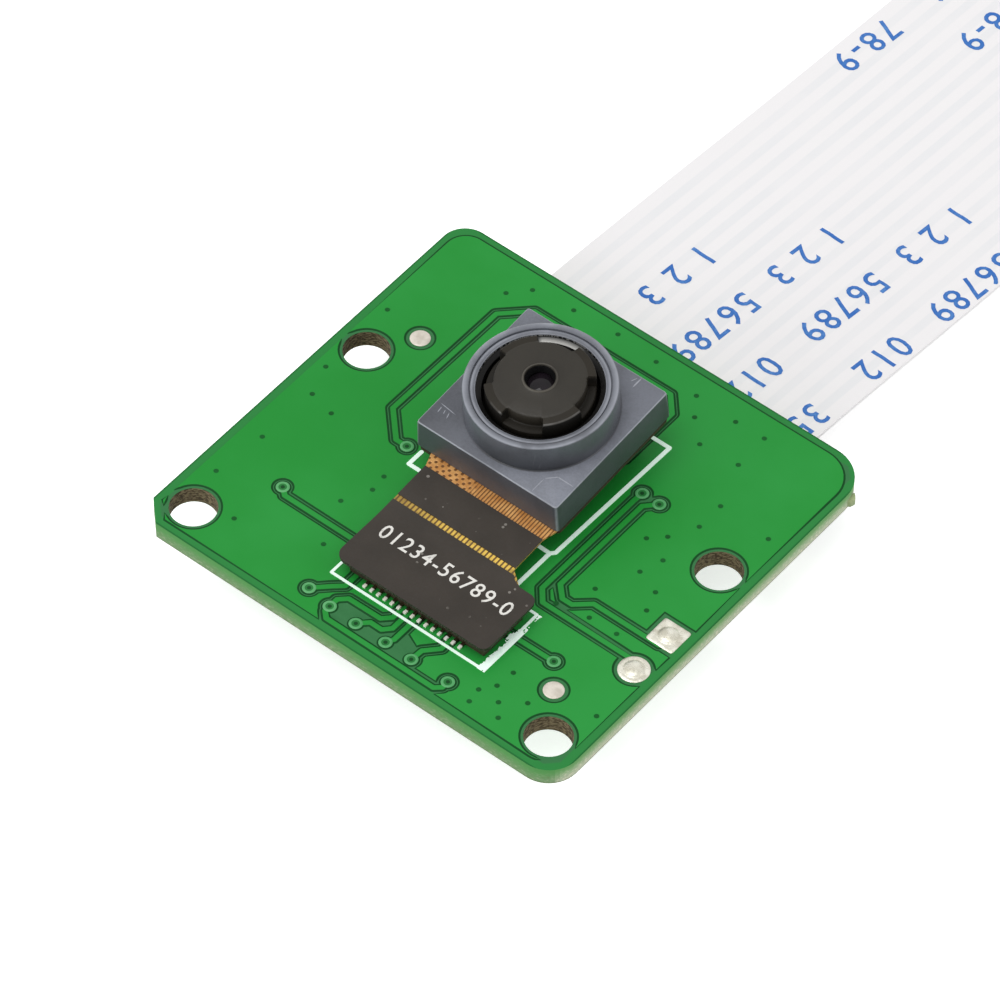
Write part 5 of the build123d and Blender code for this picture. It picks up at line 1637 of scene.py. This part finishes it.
@dataclass
class Ribbon:
    """White flat ribbon with blue numbers, tinned ends and stiffening films."""

    nodes: dict[str, bpy.types.Object]
    finishes: FinishRack
    half_width: float = 8.0
    thickness: float = 0.2
    route: tuple[Point2, ...] = ((8.0, 1.4), (13.0, 1.4), (36.0, 0.42), (82.0, 0.95), (122.0, 0.45), (158.0, 0.95))
    twist_mm: float = 0.1
    skew: float = 0.05
    length_mm: float = 150.0
    line: list[Vector] = field(default_factory=list)

    def read_line(self) -> None:
        """Reads the ribbon's smooth middle line from its route."""
        curve = bpy.data.curves.new("ribbon_route", "CURVE")
        curve.dimensions = "3D"
        curve.resolution_u = 24
        spline = curve.splines.new("NURBS")
        spline.points.add(len(self.route) - 1)
        for point, (y, z) in zip(spline.points, self.route):
            point.co = (0.0, y * MM, z * MM, 1.0)
        spline.order_u = 3
        spline.use_endpoint_u = True
        carrier = bpy.data.objects.new("ribbon_route", curve)
        path = bpy.data.meshes.new_from_object(carrier)
        self.line = [vert.co.copy() / MM for vert in path.vertices]
        bpy.data.objects.remove(carrier)
        bpy.data.curves.remove(curve)
        bpy.data.meshes.remove(path)

    def middle(self, y: float) -> float:
        """Height of the ribbon's middle line at a distance along Y."""
        for before, after in zip(self.line, self.line[1:]):
            if before.y <= y <= after.y:
                share = (y - before.y) / max(after.y - before.y, 1e-9)
                return before.z + (after.z - before.z) * share
        return self.line[0].z if y < self.line[0].y else self.line[-1].z

    def sag(self, x: float, y: float) -> float:
        """How far a point lies from the middle line because the ribbon twists a little."""
        lean = smooth_step(11.5, 26.0, y) * (1.0 - smooth_step(34.0, 80.0, y))
        return -self.twist_mm * lean * x / self.half_width

    def drift(self, y: float) -> float:
        """How far the ribbon wanders sideways, because it leaves its connector a little askew."""
        past = max(y - 11.2, 0.0)
        return self.skew * past**2 / (past + 3.0) * (1.0 - smooth_step(45.0, 112.0, y))

    def ridge(self, x: float) -> float:
        """How far the film stands up over a conductor."""
        if abs(x) > 7.45:
            return 0.0
        return 0.022 * smooth_step(-0.2, 0.5, math.cos(2 * math.pi * x))

    def surface(self, x: float, y: float) -> float:
        """Height of the ribbon's top face."""
        return self.middle(y) + self.sag(x, y) + self.thickness / 2 + self.ridge(x)

    def build(self) -> None:
        self.read_line()
        piece = self.add_film()
        numbers = self.add_numbers()
        dress(self.nodes, "ribbon_contacts", self.finishes.solder)
        dress(self.nodes, "ribbon_stiffeners", self.finishes.blue_film)

    def add_film(self) -> bpy.types.Object:
        """Sweeps the ribbon's ridged section along its line."""
        work = Workpiece("ribbon_film_strip")
        across = work.mesh.verts.layers.float.new("across")
        verts = [work.mesh.verts.new((-self.half_width, point.y, point.z)) for point in self.line]
        edges = [work.mesh.edges.new(pair) for pair in zip(verts, verts[1:])]
        columns = 128
        step = 2 * self.half_width / columns
        for _ in range(columns):
            grown = bmesh.ops.extrude_edge_only(work.mesh, edges=edges)["geom"]
            verts = [item for item in grown if isinstance(item, bmesh.types.BMVert)]
            edges = [item for item in grown if isinstance(item, bmesh.types.BMEdge)]
            bmesh.ops.translate(work.mesh, vec=(step, 0, 0), verts=verts)
        faces = list(work.mesh.faces)
        bmesh.ops.recalc_face_normals(work.mesh, faces=faces)
        grown = bmesh.ops.extrude_face_region(work.mesh, geom=faces)["geom"]
        upper = {item for item in grown if isinstance(item, bmesh.types.BMVert)}
        for vert in work.mesh.verts:
            side = 1.0 if vert in upper else -1.0
            vert[across] = vert.co.x
            vert.co.z += side * (self.thickness / 2 + self.ridge(vert.co.x)) + self.sag(vert.co.x, vert.co.y)
            vert.co.x += self.drift(vert.co.y)
        bmesh.ops.recalc_face_normals(work.mesh, faces=work.mesh.faces)
        piece = work.finish("module", [self.finishes.ribbon], 50.0)
        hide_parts("ribbon")
        return piece

    def add_numbers(self) -> bpy.types.Object:
        """Prints columns of plain numbers that step across the ribbon."""
        numerals = Numerals("ribbon_numbers", "module", 1.45, 1.22, 0.014, 0.008, 0.94, 7.9, drift=self.drift)
        words = ("1 2 3", "56789", "012", "35 6", "78-9")
        spread: list[tuple[str, float, float, float]] = []
        for family in range(7):
            for repeat in range(-1, 30):
                for step, word in enumerate(words):
                    x = -3.5 + 3.62 * repeat - 17.3 * family + 3.5 * step
                    y = 17.1 + 5.15 * repeat + 24.1 * family - 1.4 * step
                    if abs(x) < 7.3 and 12.0 < y < 149.0:
                        spread.append((word, x, y, -92.0))
        return numerals.lay(spread, self.surface, self.finishes.blue_ink)


@dataclass
class UnderSide:
    """Everything soldered below the board, and the ribbon's connector."""

    nodes: dict[str, bpy.types.Object]
    finishes: FinishRack

    def build(self) -> None:
        """Rounds the moulded parts and dresses the rest."""
        finishes = self.finishes
        softened_copy(self.nodes, "zif_housing", "module", finishes.zif, 0.04)
        softened_copy(self.nodes, "zif_latch", "latch", finishes.latch, 0.05)
        softened_copy(self.nodes, "control_chip", "module", finishes.chip, 0.03)
        softened_copy(self.nodes, "voltage_regulators", "module", finishes.chip, 0.03)
        softened_copy(self.nodes, "capacitors", "module", finishes.ceramic, 0.02)
        softened_copy(self.nodes, "capacitor_caps", "module", finishes.solder, 0.05)
        softened_copy(self.nodes, "resistors", "module", finishes.chip, 0.02)
        softened_copy(self.nodes, "resistor_caps", "module", finishes.solder, 0.03)
        softened_copy(self.nodes, "oscillator", "module", finishes.can, 0.04)
        dress(self.nodes, "zif_contacts", finishes.contact)
        dress(self.nodes, "zif_anchors", finishes.solder)
        dress(self.nodes, "regulator_leads", finishes.solder)
        dress(self.nodes, "chip_leads", finishes.solder)


def main() -> None:
    """Builds the whole scene."""
    logging.basicConfig(level=logging.INFO, format="%(message)s")
    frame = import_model()
    nodes = frame["nodes"]
    Studio().build()
    finishes = FinishRack()
    Ribbon(nodes, finishes).build()
    BoardTop(nodes, finishes).build()
    LensUnit(nodes, finishes).build()
    FlexAssembly(nodes, finishes).build()
    UnderSide(nodes, finishes).build()
    bpy.context.scene.view_settings.view_transform = "Standard"
    bpy.context.view_layer.update()


if __name__ == "__main__":
    main()
